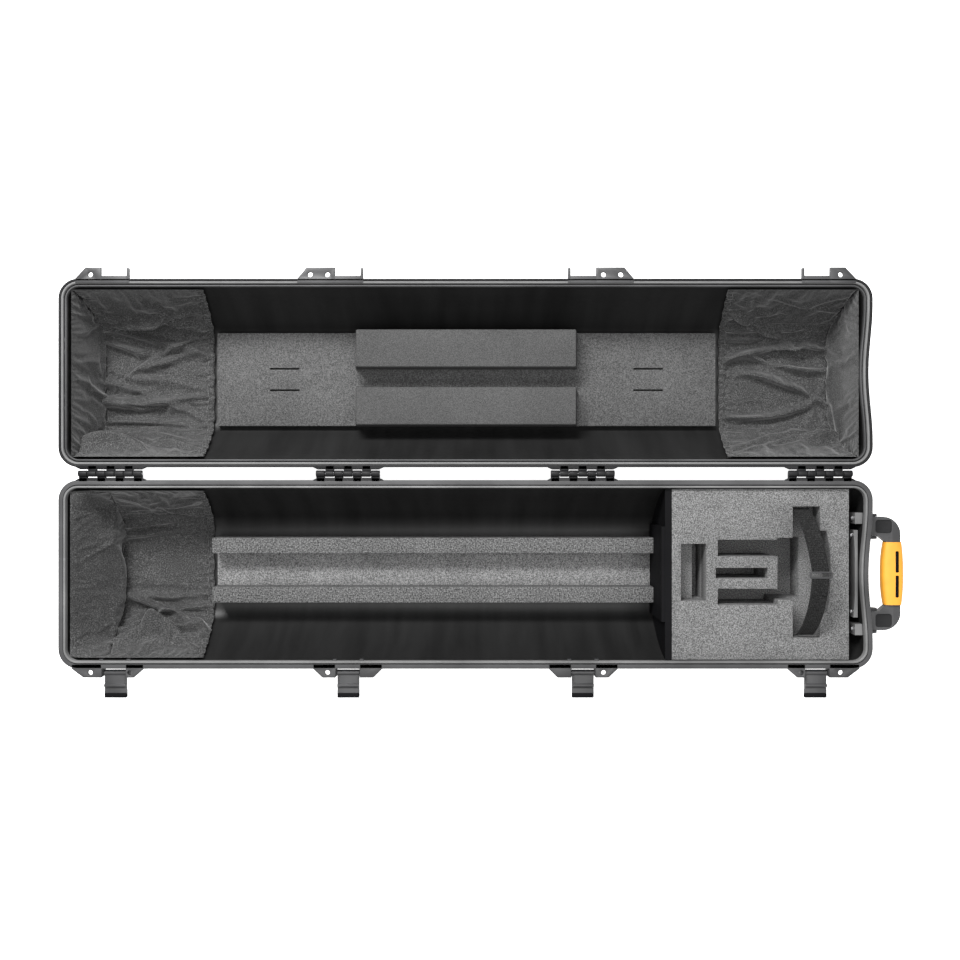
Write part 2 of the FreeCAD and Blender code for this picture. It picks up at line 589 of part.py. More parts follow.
def end_handle():
    """A moulded frame with a soft grip over its bar, hung on two pins at the end of the base."""
    low, high = "handle_height - handle_thick / 2", "handle_height + handle_thick / 2"
    middle = "-half_centre"
    outer = prism("handle_outer", "XY", [
        ("handle_axis", f"{middle} - arm_outside"),
        ("bar_far - handle_corner", f"{middle} - arm_outside", "handle_corner", "out"),
        ("bar_far", f"{middle} - arm_outside + handle_corner"),
        ("bar_far", f"{middle} + arm_outside - handle_corner", "handle_corner", "out"),
        ("bar_far - handle_corner", f"{middle} + arm_outside"),
        ("handle_axis", f"{middle} + arm_outside")], low, high)
    inner = prism("handle_window", "XY", [
        ("handle_axis - 9", f"{middle} - arm_inside"),
        ("bar_near - 7", f"{middle} - arm_inside", "7", "out"),
        ("bar_near", f"{middle} - arm_inside + 7"),
        ("bar_near", f"{middle} + arm_inside - 7", "7", "out"),
        ("bar_near - 7", f"{middle} + arm_inside"),
        ("handle_axis - 9", f"{middle} + arm_inside")], f"{low} - 1", f"{high} + 1")
    eyes, bores, pins = [], [], []
    for hand in (-1, 1):
        spot = ("handle_axis", f"{middle} + {hand} * (arm_inside + arm_outside) / 2",
                "handle_height")
        eyes.append(rod("handle_eye", "y", spot, "handle_thick / 2", "arm_outside - arm_inside"))
        bores.append(rod("handle_eye_bore", "y", spot, "handle_bore", "50"))
        pins.append(rod("handle_pin", "y", spot, "handle_pin_radius",
                        "arm_outside - arm_inside + 2 * ear_gap + 2 * ear_thick"))
    frame = cut("handle_frame_cut", join("handle_solid", [outer] + eyes), [inner] + bores)
    deliver("handle_frame", frame)
    group = doc.addObject("Part::Compound", "handle_pin_group")
    group.Links = pins
    deliver("handle_pins", group)

    half = "grip_thick / 2"
    across = [("grip_near + grip_round", f"handle_height - {half}"),
              ("grip_far - grip_round", f"handle_height - {half}", "grip_round", "out"),
              ("grip_far", f"handle_height - {half} + grip_round"),
              ("grip_far", f"handle_height + {half} - grip_round", "grip_round", "out"),
              ("grip_far - grip_round", f"handle_height + {half}"),
              ("grip_near + grip_round", f"handle_height + {half}", "grip_round", "out"),
              ("grip_near", f"handle_height + {half} - grip_round"),
              ("grip_near", f"handle_height - {half} + grip_round", "grip_round", "out")]
    sleeve = prism("grip_sleeve", "XZ", across, f"{middle} - grip_half", f"{middle} + grip_half")
    core = box("grip_core", ("bar_near", "bar_far"),
               (f"{middle} - grip_half - 1", f"{middle} + grip_half + 1"), (low, high))
    slots = [box("grip_slot", ("slot_near", "slot_far"),
                 (f"{middle} + {start}", f"{middle} + {end}"),
                 (f"handle_height + {half} - slot_depth", f"handle_height + {half} + 1"))
             for start, end in GRIP_SLOTS]
    deliver("handle_grip", cut("grip_cut", sleeve, [core] + slots))


def handle_backing():
    """Inside the end wall: a bar and two blocks that spread the handle's pull, with four screws."""
    middle = "-half_centre"
    heights = ("handle_height - plate_high", "handle_height + plate_high")
    screws = [(f"{middle} + {hand} * {place}", near) for hand in (-1, 1)
              for place, near in (("inner_screw", "plate_near"), ("outer_screw", "block_near"))]

    def shanks():
        return [rod("screw_hole", "x", ("plate_far", y, "handle_height"), "screw_radius", "22")
                for y, _ in screws]

    waisted = prism("backing_bar", "XY", [
        ("plate_near", f"{middle} - plate_half"), ("plate_far", f"{middle} - plate_half"),
        ("plate_far", f"{middle} + plate_half"), ("plate_near", f"{middle} + plate_half"),
        ("plate_near + plate_dip", f"{middle} + plate_waist"),
        ("plate_near + plate_dip", f"{middle} - plate_waist")], *heights)
    deliver("handle_backing_bar", cut("backing_bar_cut", waisted, shanks()))
    blocks = []
    for hand in (-1, 1):
        edges = (f"{middle} + {hand} * block_inside", f"{middle} + {hand} * block_outside")
        blocks.append(box("mount_block", ("block_near", "block_far"),
                          edges if hand > 0 else edges[::-1],
                          ("handle_height - block_high", "handle_height + block_high")))
    deliver("handle_mount_blocks", cut("blocks_cut", join("mount_blocks", blocks), shanks()))
    solids = []
    for y, near in screws:
        head = rod("screw_head", "x", (f"{near} - screw_head_high / 2", y, "handle_height"),
                   "screw_head", "screw_head_high")
        shank = box("screw_reach", (f"{near} - 0.2", "plate_far"), (f"{y} - 1.6", f"{y} + 1.6"),
                    ("handle_height - 1.6", "handle_height + 1.6"))
        solids.append(join("screw", [head, shank]))
    group = doc.addObject("Part::Compound", "screw_group")
    group.Links = solids
    deliver("handle_screws", group)


def purge_valve():
    """A screwed pressure valve on the handle end, below the rim."""
    wall_face = "rim_length / 2 - opening_inset + wall"
    y = "-half_centre + valve_offset"
    deliver("purge_valve_body", rod("valve_body", "x",
            (f"{wall_face} + valve_thick / 2", y, "valve_height"), "valve_radius", "valve_thick"))
    deliver("purge_valve_cap", rod("valve_cap", "x",
            (f"{wall_face} + valve_thick + valve_cap_thick / 2", y, "valve_height"),
            "valve_cap_radius", "valve_cap_thick"))


# ---------------------------------------------------------------- linings
def lining(label, side, hand, foot, knee, far):
    """A fabric lining of one end: floor, two bowed sides and an end panel that leans outward above
    a knee, open above and, with a slanted mouth, towards the middle of the case."""
    def side_view(name, shrink):
        edge, bend, top = (f"({place} - ({shrink}))" for place in (foot, knee, far))
        start = "pouch_inner" if shrink == "0" else "pouch_inner - pouch_skin"
        low = f"floor_inside + pouch_play + ({shrink})"
        high = "pouch_top" if shrink == "0" else "pouch_top + 5"
        corners = [(f"{hand} * ({start} + mouth_slant)", low), (f"{hand} * {edge}", low),
                   (f"{hand} * {bend}", f"knee_height + {shrink}"),
                   (f"{hand} * {top}", high), (f"{hand} * ({start})", high)]
        if hand < 0:
            corners.reverse()
        return prism(name, "XZ", corners, f"{side} * half_centre - rim_width / 2",
                     f"{side} * half_centre + rim_width / 2")

    def shaped(name, shrink, top):
        grow = f"-pouch_play - ({shrink})"
        reach = "pouch_outer + 5"
        ends = ("0", reach) if hand > 0 else (f"-({reach})", "0")
        corner = f"(opening_inset + pouch_play + ({shrink}))"
        return common(name, [
            prism(name + "_barrel", "YZ", barrel_outline(side, grow, top), *ends),
            prism(name + "_plan", "XY", rim_outline(side, corner), "0", top),
            side_view(name + "_side", shrink)])

    outside = shaped(label + "_outside", "0", "rim_height + 1")
    inside = shaped(label + "_inside", "pouch_skin", "rim_height + 2")
    deliver(label, cut(label + "_cut", outside, [inside]))


def hem(label, side, hand):
    """The gathered elastic edge of a lining, a band across its open end."""
    near, far = "pouch_inner - 0.4 - hem_width", "pouch_inner - 0.4"
    corners = [(f"{hand} * ({near} + mouth_slant)", "floor_inside"),
               (f"{hand} * ({far} + mouth_slant)", "floor_inside"),
               (f"{hand} * ({far})", "pouch_top"), (f"{hand} * ({near})", "pouch_top")]
    if hand < 0:
        corners.reverse()
    slanted = prism(label + "_slant", "XZ", corners, f"{side} * half_centre - rim_width / 2",
                    f"{side} * half_centre + rim_width / 2")
    reach = [f"{hand} * pouch_inner - 2 * mouth_slant", f"{hand} * pouch_inner + 2 * mouth_slant"]
    section = prism(label + "_section", "YZ",
                    low_barrel_outline(side, "-pouch_play - 0.2", "pouch_top"), *reach)
    band = common(label + "_band", [section, slanted])
    clear = prism(label + "_clear", "YZ",
                  barrel_outline(side, "-pouch_play - hem_skin", "rim_height + 1"), *reach)
    deliver(label, cut(label + "_cut", band, [clear]))


# ---------------------------------------------------------------- foam and boards of the base
def rail():
    """A long foam rail along the middle of the base: a floor strip with a ridge down each side."""
    middle = "-half_centre"
    along = ("rail_start", "rail_end")
    deliver("rail_floor", box("rail_floor_block", along,
            (f"{middle} - rail_half", f"{middle} + rail_half"), ("floor_inside", "trough_top")))
    deliver("rail_ridge_rear", box("ridge_rear_block", along,
            (f"{middle} + rail_half - ridge_width", f"{middle} + rail_half"),
            ("trough_top", "ridge_top")))
    deliver("rail_ridge_front", box("ridge_front_block", along,
            (f"{middle} - rail_half", f"{middle} - rail_half + ridge_width"),
            ("trough_top", "ridge_top")))


def divider():
    board = prism("divider_prism", "YZ", low_barrel_outline(-1, "-foam_play", "foam_top"),
                  "board_near", "board_far")
    deliver("divider_board", board)
    deliver("divider_doubler", box("doubler_block", ("doubler_near", "board_near"),
            ("-half_centre - doubler_half", "-half_centre + doubler_half"),
            ("floor_inside + 10", "foam_top - 1")))


def foam_pockets(deep):
    """The hollows cut down into the foam block; the deep ones go on through the middle layer."""
    low, high = "foam_low", "foam_top + 1"

    pockets = [box("pocket", (str(near), str(far)), (str(start), str(end)), (low, high))
               for near, far, start, end in POCKETS]
    pockets.append(box("step_pocket", ("step_deep" if deep else "step_shallow", "step_far"),
                       ("step_front", "step_rear"), (low, high)))
    if not deep:
        pockets.append(prism("strap_hollow", "XY", [
            ("hollow_near", "hollow_front"), ("hollow_end", "hollow_front"),
            ("hollow_end", "hollow_step_front"),
            ("hollow_far", "hollow_step_front", "hollow_bulge", "out"),
            ("hollow_far", "hollow_step_rear"), ("hollow_end", "hollow_step_rear"),
            ("hollow_end", "hollow_rear"), ("hollow_near", "hollow_rear")], low, high))
    return pockets


def foam_block():
    """Three glued layers that fill the handle end of the base."""
    layers = (("foam_block_bottom", "floor_inside + foam_play", "foam_low", None),
              ("foam_block_middle", "foam_low", "foam_middle", True),
              ("foam_block_top", "foam_middle", "foam_top", False))
    for label, low, high, deep in layers:
        whole = prism(label + "_form", "YZ", low_barrel_outline(-1, "-foam_play", "foam_top"),
                      "foam_near", "foam_far")
        slice_block = box(label + "_slice", ("foam_near - 5", "foam_far + 5"), ("-340", "0"),
                          (low, high))
        layer = common(label + "_layer", [whole, slice_block])
        if deep is not None:
            layer = cut(label + "_cut", layer, foam_pockets(deep))
        deliver(label, layer)


def strap():
    """A hook-and-loop strap that arches over the cradle, in two halves joined by a ring."""
    sink = "(strap_radius - (strap_peak - foam_top + 12))"
    ends = ("strap_x - strap_width / 2", "strap_x + strap_width / 2")
    reach = f"sqrt(strap_radius ^ 2 - {sink} ^ 2)"
    inner_reach = f"sqrt((strap_radius - strap_thick) ^ 2 - {sink} ^ 2)"
    foot = "(foam_top - 12)"
    for label, hand in (("strap_rear", 1), ("strap_front", -1)):
        join_at = f"strap_y + {hand} * 3"
        drop = "(strap_radius - sqrt(strap_radius ^ 2 - 9))"
        low_drop = "(strap_radius - sqrt((strap_radius - strap_thick) ^ 2 - 9))"
        corners = [(f"strap_y + {hand} * {reach}", foot, "strap_radius", "out"),
                   (join_at, f"strap_peak - {drop}"),
                   (join_at, f"strap_peak - {low_drop}", "strap_radius - strap_thick", "in"),
                   (f"strap_y + {hand} * {inner_reach}", foot)]
        if hand < 0:
            corners = [(f"strap_y - {inner_reach}", foot, "strap_radius - strap_thick", "in"),
                       (join_at, f"strap_peak - {low_drop}"),
                       (join_at, f"strap_peak - {drop}", "strap_radius", "out"),
                       (f"strap_y - {reach}", foot)]
        deliver(label, prism(label + "_band", "YZ", corners, *ends))
    frame = box("ring_frame", ("strap_x - ring_length / 2", "strap_x + ring_length / 2"),
                ("strap_y - ring_width / 2", "strap_y + ring_width / 2"),
                ("strap_peak + 0.3", "strap_peak + 0.3 + ring_thick"))
    window = box("ring_window",
                 ("strap_x - ring_length / 2 + ring_bar", "strap_x + ring_length / 2 - ring_bar"),
                 ("strap_y - ring_width / 2 + ring_bar", "strap_y + ring_width / 2 - ring_bar"),
                 ("strap_peak", "strap_peak + 5"))
    deliver("strap_ring", cut("ring_cut", frame, [window]))


# ---------------------------------------------------------------- lid half
def lid_shell():
    strikes, holes = lid_strikes()
    flange = prism("lid_rim", "XY", rim_outline(1, "0"), "rim_height - lid_flange",
                   "rim_height - seam_gap")
    outside = join("lid_outside", [tub("lid_tub", 1, "wall", "rim_height - 4"), flange]
                   + outside_ribs(1) + hinge_plates(1) + knuckle_shapes(1, 1) + strikes)
    groove = rim_ring("seal_groove_ring", 1, "seal_inset", "seal_groove",
                      "rim_height - seal_floor", "rim_height")
    lip = rim_ring("lip_ring", 1, "(seal_inset + seal_groove - 0.1)", "5",
                   "rim_height - lip_drop", "rim_height")
    hollow = tub("lid_hollow", 1, "0", "rim_height + 5")
    deliver("lid_shell", cut("lid_cut", outside, [hollow, groove, lip] + holes + hinge_bores()))


def lid_seal():
    deliver("lid_gasket", rim_ring("gasket", 1, "(seal_inset + 0.15)", "seal_width",
                                   "rim_height - seal_floor", "rim_height - seal_top"))


def lid_foam():
    middle = "half_centre"
    reach = "(pouch_inner + mouth_slant - hem_width - 2.5)"
    slab = box("slab_block", (f"-{reach}", reach), (f"{middle} - slab_half", f"{middle} + slab_half"),
               ("floor_inside", "slab_top"))
    slits = []
    for hand_x in (-1, 1):
        for hand_y in (-1, 1):
            x, y = f"{hand_x} * slit_centre", f"{middle} + {hand_y} * slit_offset"
            slits.append(box("slit", (f"{x} - slit_length / 2", f"{x} + slit_length / 2"),
                             (f"{y} - slit_width / 2", f"{y} + slit_width / 2"),
                             ("floor_inside - 1", "slab_top + 1")))
    deliver("lid_foam_slab", cut("slab_cut", slab, slits))
    for label, hand in (("lid_foam_block_rear", -1), ("lid_foam_block_front", 1)):
        edges = (f"{middle} + {hand} * slab_block_gap", f"{middle} + {hand} * slab_half")
        deliver(label, box(label + "_block", ("-slab_block_half", "slab_block_half"),
                           edges if hand > 0 else edges[::-1], ("slab_top", "slab_block_top")))


# ---------------------------------------------------------------- the whole case
base_shell()
hinge_pins()
latch_pins()
for place, latch_middle in enumerate(LATCHES, start=1):
    latch_lever(f"latch_lever_{place}", latch_middle)
for place, wheel_y in enumerate(wheel_centres(), start=1):
    wheel(place, wheel_y)
end_handle()
handle_backing()
purge_valve()
lining("base_pouch", -1, -1, "ramp_foot", "ramp_knee", "ramp_top")
hem("base_pouch_hem", -1, -1)
rail()
divider()
foam_block()
strap()
lid_shell()
lid_seal()
lid_foam()
for tag, hand_of_end in (("left", -1), ("right", 1)):
    lining(f"lid_pouch_{tag}", 1, hand_of_end, "lid_foot", "lid_knee", "pouch_outer")
    hem(f"lid_pouch_{tag}_hem", 1, hand_of_end)
doc.recompute()

failed = [thing.Name for thing in doc.Objects
          if "Invalid" in thing.State or "Error" in thing.State]
failed += [made.Label for made in delivered if made.Shape.isNull() or not made.Shape.isValid()]
if failed:
    raise RuntimeError("parts that did not build: " + ", ".join(failed))

os.makedirs("parts", exist_ok=True)
for made in delivered:
    made.Shape.exportStep(f"parts/{made.Label}.step")
    solids = len(made.Shape.Solids)
    print(f"{made.Label}: {solids} solid(s), {made.Shape.Volume / 1000:.1f} cm3")
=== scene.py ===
"""A long wheeled telescope case, open flat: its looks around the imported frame."""
import json
import math

import bmesh
import bpy
import numpy as np
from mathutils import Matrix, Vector


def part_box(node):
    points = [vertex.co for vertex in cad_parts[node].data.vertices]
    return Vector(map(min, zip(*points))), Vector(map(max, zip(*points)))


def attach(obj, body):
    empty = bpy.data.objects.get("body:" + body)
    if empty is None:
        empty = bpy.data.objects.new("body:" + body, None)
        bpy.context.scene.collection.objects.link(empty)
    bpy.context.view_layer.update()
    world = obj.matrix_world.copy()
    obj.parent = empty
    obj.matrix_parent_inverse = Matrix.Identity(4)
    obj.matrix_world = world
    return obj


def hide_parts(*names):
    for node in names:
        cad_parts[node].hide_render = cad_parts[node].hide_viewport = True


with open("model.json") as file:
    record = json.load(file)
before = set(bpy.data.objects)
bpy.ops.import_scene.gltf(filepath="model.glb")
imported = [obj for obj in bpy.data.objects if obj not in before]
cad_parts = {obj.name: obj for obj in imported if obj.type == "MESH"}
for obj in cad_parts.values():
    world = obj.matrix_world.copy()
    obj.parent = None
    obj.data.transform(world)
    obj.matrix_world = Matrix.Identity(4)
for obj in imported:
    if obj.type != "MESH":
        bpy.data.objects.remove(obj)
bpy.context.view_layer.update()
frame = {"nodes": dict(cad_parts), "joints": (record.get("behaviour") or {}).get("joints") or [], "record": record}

# Lengths below are in millimetres in the hinge frame: X from the middle of the shell towards the
# handle, Y from the hinge axis towards the lid, Z from the surface that the case lies on.
MM = 0.001
HINGE = next(j for j in frame["joints"] if j["name"] == "lid_hinge")["pos_m"]
RIM = HINGE[2] / MM


def at(x, y, z):
    """A point of the hinge frame, in metres in the row frame."""
    return Vector((HINGE[0] + x * MM, HINGE[1] + y * MM, z * MM))


def span(node):
    """Lowest and highest corners of a CAD node, in the hinge frame's millimetres."""
    return [((c.x - HINGE[0]) / MM, (c.y - HINGE[1]) / MM, c.z / MM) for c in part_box(node)]


# ---------------------------------------------------------------- sizes of the shell
HALF_CENTRE = 172
HALF_LENGTH, HALF_WIDTH, CORNER = 695, 161, 34
WAIST, WAIST_REACH = 7.3, 118
OPENING = 13.6
WALL = 4
FLOOR_Z, FLOOR_HALF, BOW = 8, 85, 257
BEND, BEND_SLOPE = 40, math.radians(48.4)
END_BEND = 14
SEAM_GAP = 0.4
LATCH_X = (-600, -201, 201, 600)
HINGE_X = (-605, -200, 200, 605)
HANDLE_X, HANDLE_Z = 702, 118
BASE, LID = -1, 1


def barrel(z, grow=0.0):
    """Half width of the bowed cross-section at a height, grown outward by a distance."""
    top, flat = HALF_WIDTH - OPENING + grow, FLOOR_HALF + 0.6 * grow
    low, radius = FLOOR_Z - grow, BOW + grow
    rise, run = RIM - low, top - flat
    chord = math.hypot(rise, run)
    sink = math.sqrt(radius ** 2 - chord ** 2 / 4) / chord
    centre_y = (top + flat) / 2 - rise * sink
    centre_z = (RIM + low) / 2 + run * sink
    drop = min(max(z, low), RIM) - centre_z
    bend, lift = BEND + grow, z - low
    if lift < bend * (1 - math.cos(BEND_SLOPE)):
        sunk = bend - max(lift, 0)
        return flat - bend * math.tan(BEND_SLOPE / 2) + math.sqrt(bend ** 2 - sunk ** 2)
    return centre_y + math.sqrt(radius ** 2 - drop ** 2)


def end_reach(z, grow=0.0):
    """Half length of the shell's inside at a height: straight, then rounded into the floor."""
    full, bend, low = HALF_LENGTH - OPENING + grow, END_BEND + grow, FLOOR_Z - grow
    lift = max(bend - (z - low), 0)
    return full - bend + math.sqrt(max(bend ** 2 - lift ** 2, 0))


# ---------------------------------------------------------------- materials
class Shader:
    """A Principled material whose nodes are added one by one."""

    def __init__(self, name, colour, rough, **constants):
        self.material = bpy.data.materials.new(name)
        self.material.use_nodes = True
        self.nodes = self.material.node_tree.nodes
        self.links = self.material.node_tree.links
        self.surface = self.nodes["Principled BSDF"]
        self.surface.inputs["Base Color"].default_value = (*colour, 1)
        self.surface.inputs["Roughness"].default_value = rough
        for socket, number in constants.items():
            self.surface.inputs[socket.replace("_", " ")].default_value = number
        self.place = self.nodes.new("ShaderNodeTexCoord").outputs["Object"]
        self.height = None

    def noise(self, scale, detail=3.0, rough=0.55, stretch=None):
        texture = self.nodes.new("ShaderNodeTexNoise")
        texture.inputs["Scale"].default_value = scale
        texture.inputs["Detail"].default_value = detail
        texture.inputs["Roughness"].default_value = rough
        self.links.new(self.stretched(stretch), texture.inputs["Vector"])
        return texture.outputs["Fac"]

    def cells(self, scale):
        texture = self.nodes.new("ShaderNodeTexVoronoi")
        texture.inputs["Scale"].default_value = scale
        self.links.new(self.place, texture.inputs["Vector"])
        return texture.outputs["Distance"]

    def stretched(self, stretch):
        if stretch is None:
            return self.place
        mapping = self.nodes.new("ShaderNodeMapping")
        mapping.inputs["Scale"].default_value = stretch
        self.links.new(self.place, mapping.inputs["Vector"])
        return mapping.outputs["Vector"]

    def ramp(self, factor, stops):
        """A colour ramp; each stop is (place, colour or grey)."""
        ramp = self.nodes.new("ShaderNodeValToRGB")
        elements = ramp.color_ramp.elements
        while len(elements) < len(stops):
            elements.new(0.5)
        for element, (place, colour) in zip(elements, stops):
            element.position = place
            shade = colour if hasattr(colour, "__len__") else (colour,) * 3
            element.color = (*shade, 1)
        self.links.new(factor, ramp.inputs["Fac"])
        return ramp.outputs["Color"]

    def blend(self, first, second, factor, kind="MIX"):
        """Mix two colours; the factor may be a number or a socket."""
        mix = self.nodes.new("ShaderNodeMix")
        mix.data_type = "RGBA"
        mix.blend_type = kind
        for name, value in (("Factor", factor), ("A", first), ("B", second)):
            socket = next(s for s in mix.inputs if s.name == name
                          and s.type == ("VALUE" if name == "Factor" else "RGBA"))
            if hasattr(value, "links"):
                self.links.new(value, socket)
            else:
                socket.default_value = value if name == "Factor" else (*value, 1)
        return next(s for s in mix.outputs if s.type == "RGBA")

    def combine(self, first, second, kind="ADD"):
        maths = self.nodes.new("ShaderNodeMath")
        maths.operation = kind
        for socket, value in zip(maths.inputs, (first, second)):
            if hasattr(value, "links"):
                self.links.new(value, socket)
            else:
                socket.default_value = value
        return maths.outputs["Value"]

    def colour(self, socket):
        self.links.new(socket, self.surface.inputs["Base Color"])
        return self

    def roughness(self, factor, low, high):
        spread = self.nodes.new("ShaderNodeMapRange")
        spread.inputs["To Min"].default_value = low
        spread.inputs["To Max"].default_value = high
        self.links.new(factor, spread.inputs["Value"])
        self.links.new(spread.outputs["Result"], self.surface.inputs["Roughness"])
        return self

    def bump(self, factor, depth, strength=1.0):
        """Lay a height on the surface; several stack, the last one given on top."""
        bump = self.nodes.new("ShaderNodeBump")
        bump.inputs["Strength"].default_value = strength
        bump.inputs["Distance"].default_value = depth
        self.links.new(factor, bump.inputs["Height"])
        if self.height is not None:
            self.links.new(self.height, bump.inputs["Normal"])
        self.height = bump.outputs["Normal"]
        self.links.new(self.height, self.surface.inputs["Normal"])
        return self


def moulded(name, colour, rough, grain=1500, depth=0.00006, shine=0.3):
    """Moulded plastic: a fine spark-eroded grain, slow unevenness of gloss and faint scuffs."""
    made = Shader(name, colour, rough, Specular_IOR_Level=shine)
    broad = made.noise(9, 4)
    fine = made.noise(grain, 2)
    scuffs = made.noise(60, 6, 0.7, (0.25, 1.6, 1.0))
    light = tuple(min(c * 1.7, 1) for c in colour)
    tint = made.ramp(broad, [(0.3, tuple(c * 0.8 for c in colour)), (0.7, light)])
    worn = made.ramp(scuffs, [(0.62, 0.0), (0.78, 0.35)])
    made.colour(made.blend(tint, tuple(c * 2.6 + 0.003 for c in colour), worn))
    made.roughness(made.combine(made.combine(broad, 0.7, "MULTIPLY"), made.combine(
        scuffs, 0.3, "MULTIPLY")), rough - 0.12, rough + 0.14)
    return made.bump(broad, 0.0004, 0.25).bump(fine, depth).material


def glossy_inside(name):
    """The shell's bare inside: near-black, smooth, with the slight waviness of a deep moulding."""
    made = Shader(name, (0.006, 0.006, 0.0065), 0.3, Specular_IOR_Level=0.3)
    wavy = made.noise(5, 2, 0.4, (0.4, 1, 1))
    drag = made.noise(34, 5, 0.6, (1, 0.12, 0.12))
    made.colour(made.ramp(drag, [(0.3, 0.007), (0.75, 0.015)]))
    made.roughness(made.combine(wavy, 0.2, "MULTIPLY"), 0.42, 0.8)
    return made.bump(wavy, 0.0016, 0.5).bump(made.noise(900, 2), 0.00002).material


def foam_skin(name, tone, cell, depth, spots):
    """Closed-cell foam: fine grains of light and dark, denser or coarser with the cell's size."""
    made = Shader(name, (tone,) * 3, 0.95, Specular_IOR_Level=0.2)
    grains = made.noise(cell, 2, 0.75)
    pores = made.cells(cell * 0.6)
    broad = made.noise(7, 5, 0.6)
    shade = made.ramp(grains, [(0.36, (tone * (1 - spots),) * 3), (0.5, (tone,) * 3),
                               (0.66, (tone * (1 + spots * 1.3),) * 3)])
    holes = made.ramp(pores, [(0.08, 0.55), (0.34, 1.0)])
    cloudy = made.ramp(broad, [(0.3, 0.86), (0.7, 1.1)])
    made.colour(made.blend(made.blend(shade, holes, 0.8, "MULTIPLY"), cloudy, 1.0, "MULTIPLY"))
    return made.bump(broad, 0.0009, 0.4).bump(grains, depth).material


def woven(name, tone, thread=1500, weave_depth=0.00012, sheen=0.35, shine=0.3):
    """Woven nylon: crossing threads, a dusty sparkle and a soft sheen."""
    made = Shader(name, (tone,) * 3, 0.72, Sheen_Weight=sheen, Sheen_Roughness=0.45,
                  Specular_IOR_Level=shine)
    speckle = made.noise(520, 2, 0.8)
    broad = made.noise(16, 4)
    shade = made.ramp(speckle, [(0.38, tone * 0.3), (0.52, tone), (0.66, tone * 3.2)])
    made.colour(made.blend(shade, made.ramp(broad, [(0.25, 0.8), (0.75, 1.15)]), 1.0, "MULTIPLY"))
    warp = made.nodes.new("ShaderNodeTexWave")
    weft = made.nodes.new("ShaderNodeTexWave")
    for wave, direction in ((warp, "X"), (weft, "Y")):
        wave.bands_direction = direction
        wave.inputs["Scale"].default_value = thread / 6.3
        wave.inputs["Distortion"].default_value = 0.6
        made.links.new(made.place, wave.inputs["Vector"])
    threads = made.combine(warp.outputs["Fac"], weft.outputs["Fac"])
    return made.bump(threads, weave_depth, 0.6).bump(speckle, 0.0001, 0.7).material


def metal(name, colour, rough):
    made = Shader(name, colour, rough, Metallic=1.0)
    brushed = made.noise(700, 3, 0.6, (0.1, 1, 1))
    made.roughness(brushed, rough - 0.08, rough + 0.15)
    return made.bump(brushed, 0.00003).material


def soft_rubber(name, colour, rough=0.55):
    """Soft moulded rubber: matt, finely dimpled, a little darker where hands rub it."""
    made = Shader(name, colour, rough)
    broad = made.noise(28, 4)
    dark = tuple(c * 0.82 for c in colour)
    made.colour(made.ramp(broad, [(0.3, dark), (0.62, colour)]))
    made.roughness(broad, rough - 0.08, rough + 0.12)
    return made.bump(made.cells(1300), 0.00005, 0.6).material


PLASTICS = {  # colour, roughness, then grain, its depth and shine where they aren't the usual ones
    "shell_plastic": ((0.02, 0.02, 0.021), 0.5),
    # the rim's top faces: the shell's plastic painted twice as light, painted light where the rim faces the lamps
    "lit_rim_plastic": ((0.04, 0.04, 0.041), 0.55, 1100, 0.00004),
    # near-black: the hinges' own dark plastic, and also painted shade in the base rim's groove, on the lid's
    # groove floor, outer flange and skirt, and in the handle's sunk pads
    "edge_plastic": ((0.007, 0.007, 0.0075), 0.5, 1500, 0.00006, 0.2),
    # the base's tongue: the shell's plastic painted much lighter, a painted highlight along the rim
    "tongue_highlight_plastic": ((0.1, 0.1, 0.1), 0.5, 1100, 0.00004),
    "plate_plastic": ((0.1, 0.1, 0.1), 0.3),
    "latch_plastic": ((0.035, 0.035, 0.036), 0.45),
    "fitting_plastic": ((0.032, 0.032, 0.033), 0.45),
    "board_plastic": ((0.003, 0.003, 0.0035), 0.7, 1500, 0.00006, 0.08),
}
FOAMS = {  # tone, cells to a metre, depth, spottiness
    "foam": (0.125, 520, 0.0004, 0.62),
    # the rail's floor: the same foam painted lighter, painted light against the shade the ridges cast on it
    "foam_floor": (0.15, 520, 0.0004, 0.62),
    "foam_cut": (0.09, 380, 0.0006, 0.75),
    "foam_lid": (0.072, 520, 0.0004, 0.5),
    "foam_smooth": (0.058, 620, 0.0003, 0.36),
}
MATERIALS = {
    **{name: moulded(name, *look) for name, look in PLASTICS.items()},
    **{name: foam_skin(name, *look) for name, look in FOAMS.items()},
    "inside_plastic": glossy_inside("inside_plastic"),
    "pouch_fabric": woven("pouch_fabric", 0.03, sheen=0.3),
    "strap_webbing": woven("strap_webbing", 0.011, 700, 0.0006, 0.05, 0.12),
    "steel": metal("steel", (0.42, 0.42, 0.43), 0.32),
    "seal_rubber": soft_rubber("seal_rubber", (0.14, 0.14, 0.14), 0.8),
    "grip_rubber": soft_rubber("grip_rubber", (0.74, 0.32, 0.026)),
    "tyre_rubber": soft_rubber("tyre_rubber", (0.03, 0.03, 0.031), 0.7),
}


# ---------------------------------------------------------------- mesh helpers
def make(name, points, faces, body, slot, skin=None, sharp=35):
    """A mesh piece from points in the hinge frame, riding on a body."""
    mesh = bpy.data.meshes.new(name)
    mesh.from_pydata([at(*p) for p in points], [], faces)
    shape = bmesh.new()
    shape.from_mesh(mesh)
    bmesh.ops.recalc_face_normals(shape, faces=shape.faces)
    shape.to_mesh(mesh)
    shape.free()
    piece = bpy.data.objects.new(name, mesh)
    bpy.context.scene.collection.objects.link(piece)
    mesh.materials.append(MATERIALS[skin or slot])
    smooth(piece, sharp)
    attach(piece, body)
    return piece


def smooth(piece, sharp=35):
    piece.data.shade_smooth()
    piece.data.set_sharp_from_angle(angle=math.radians(sharp))


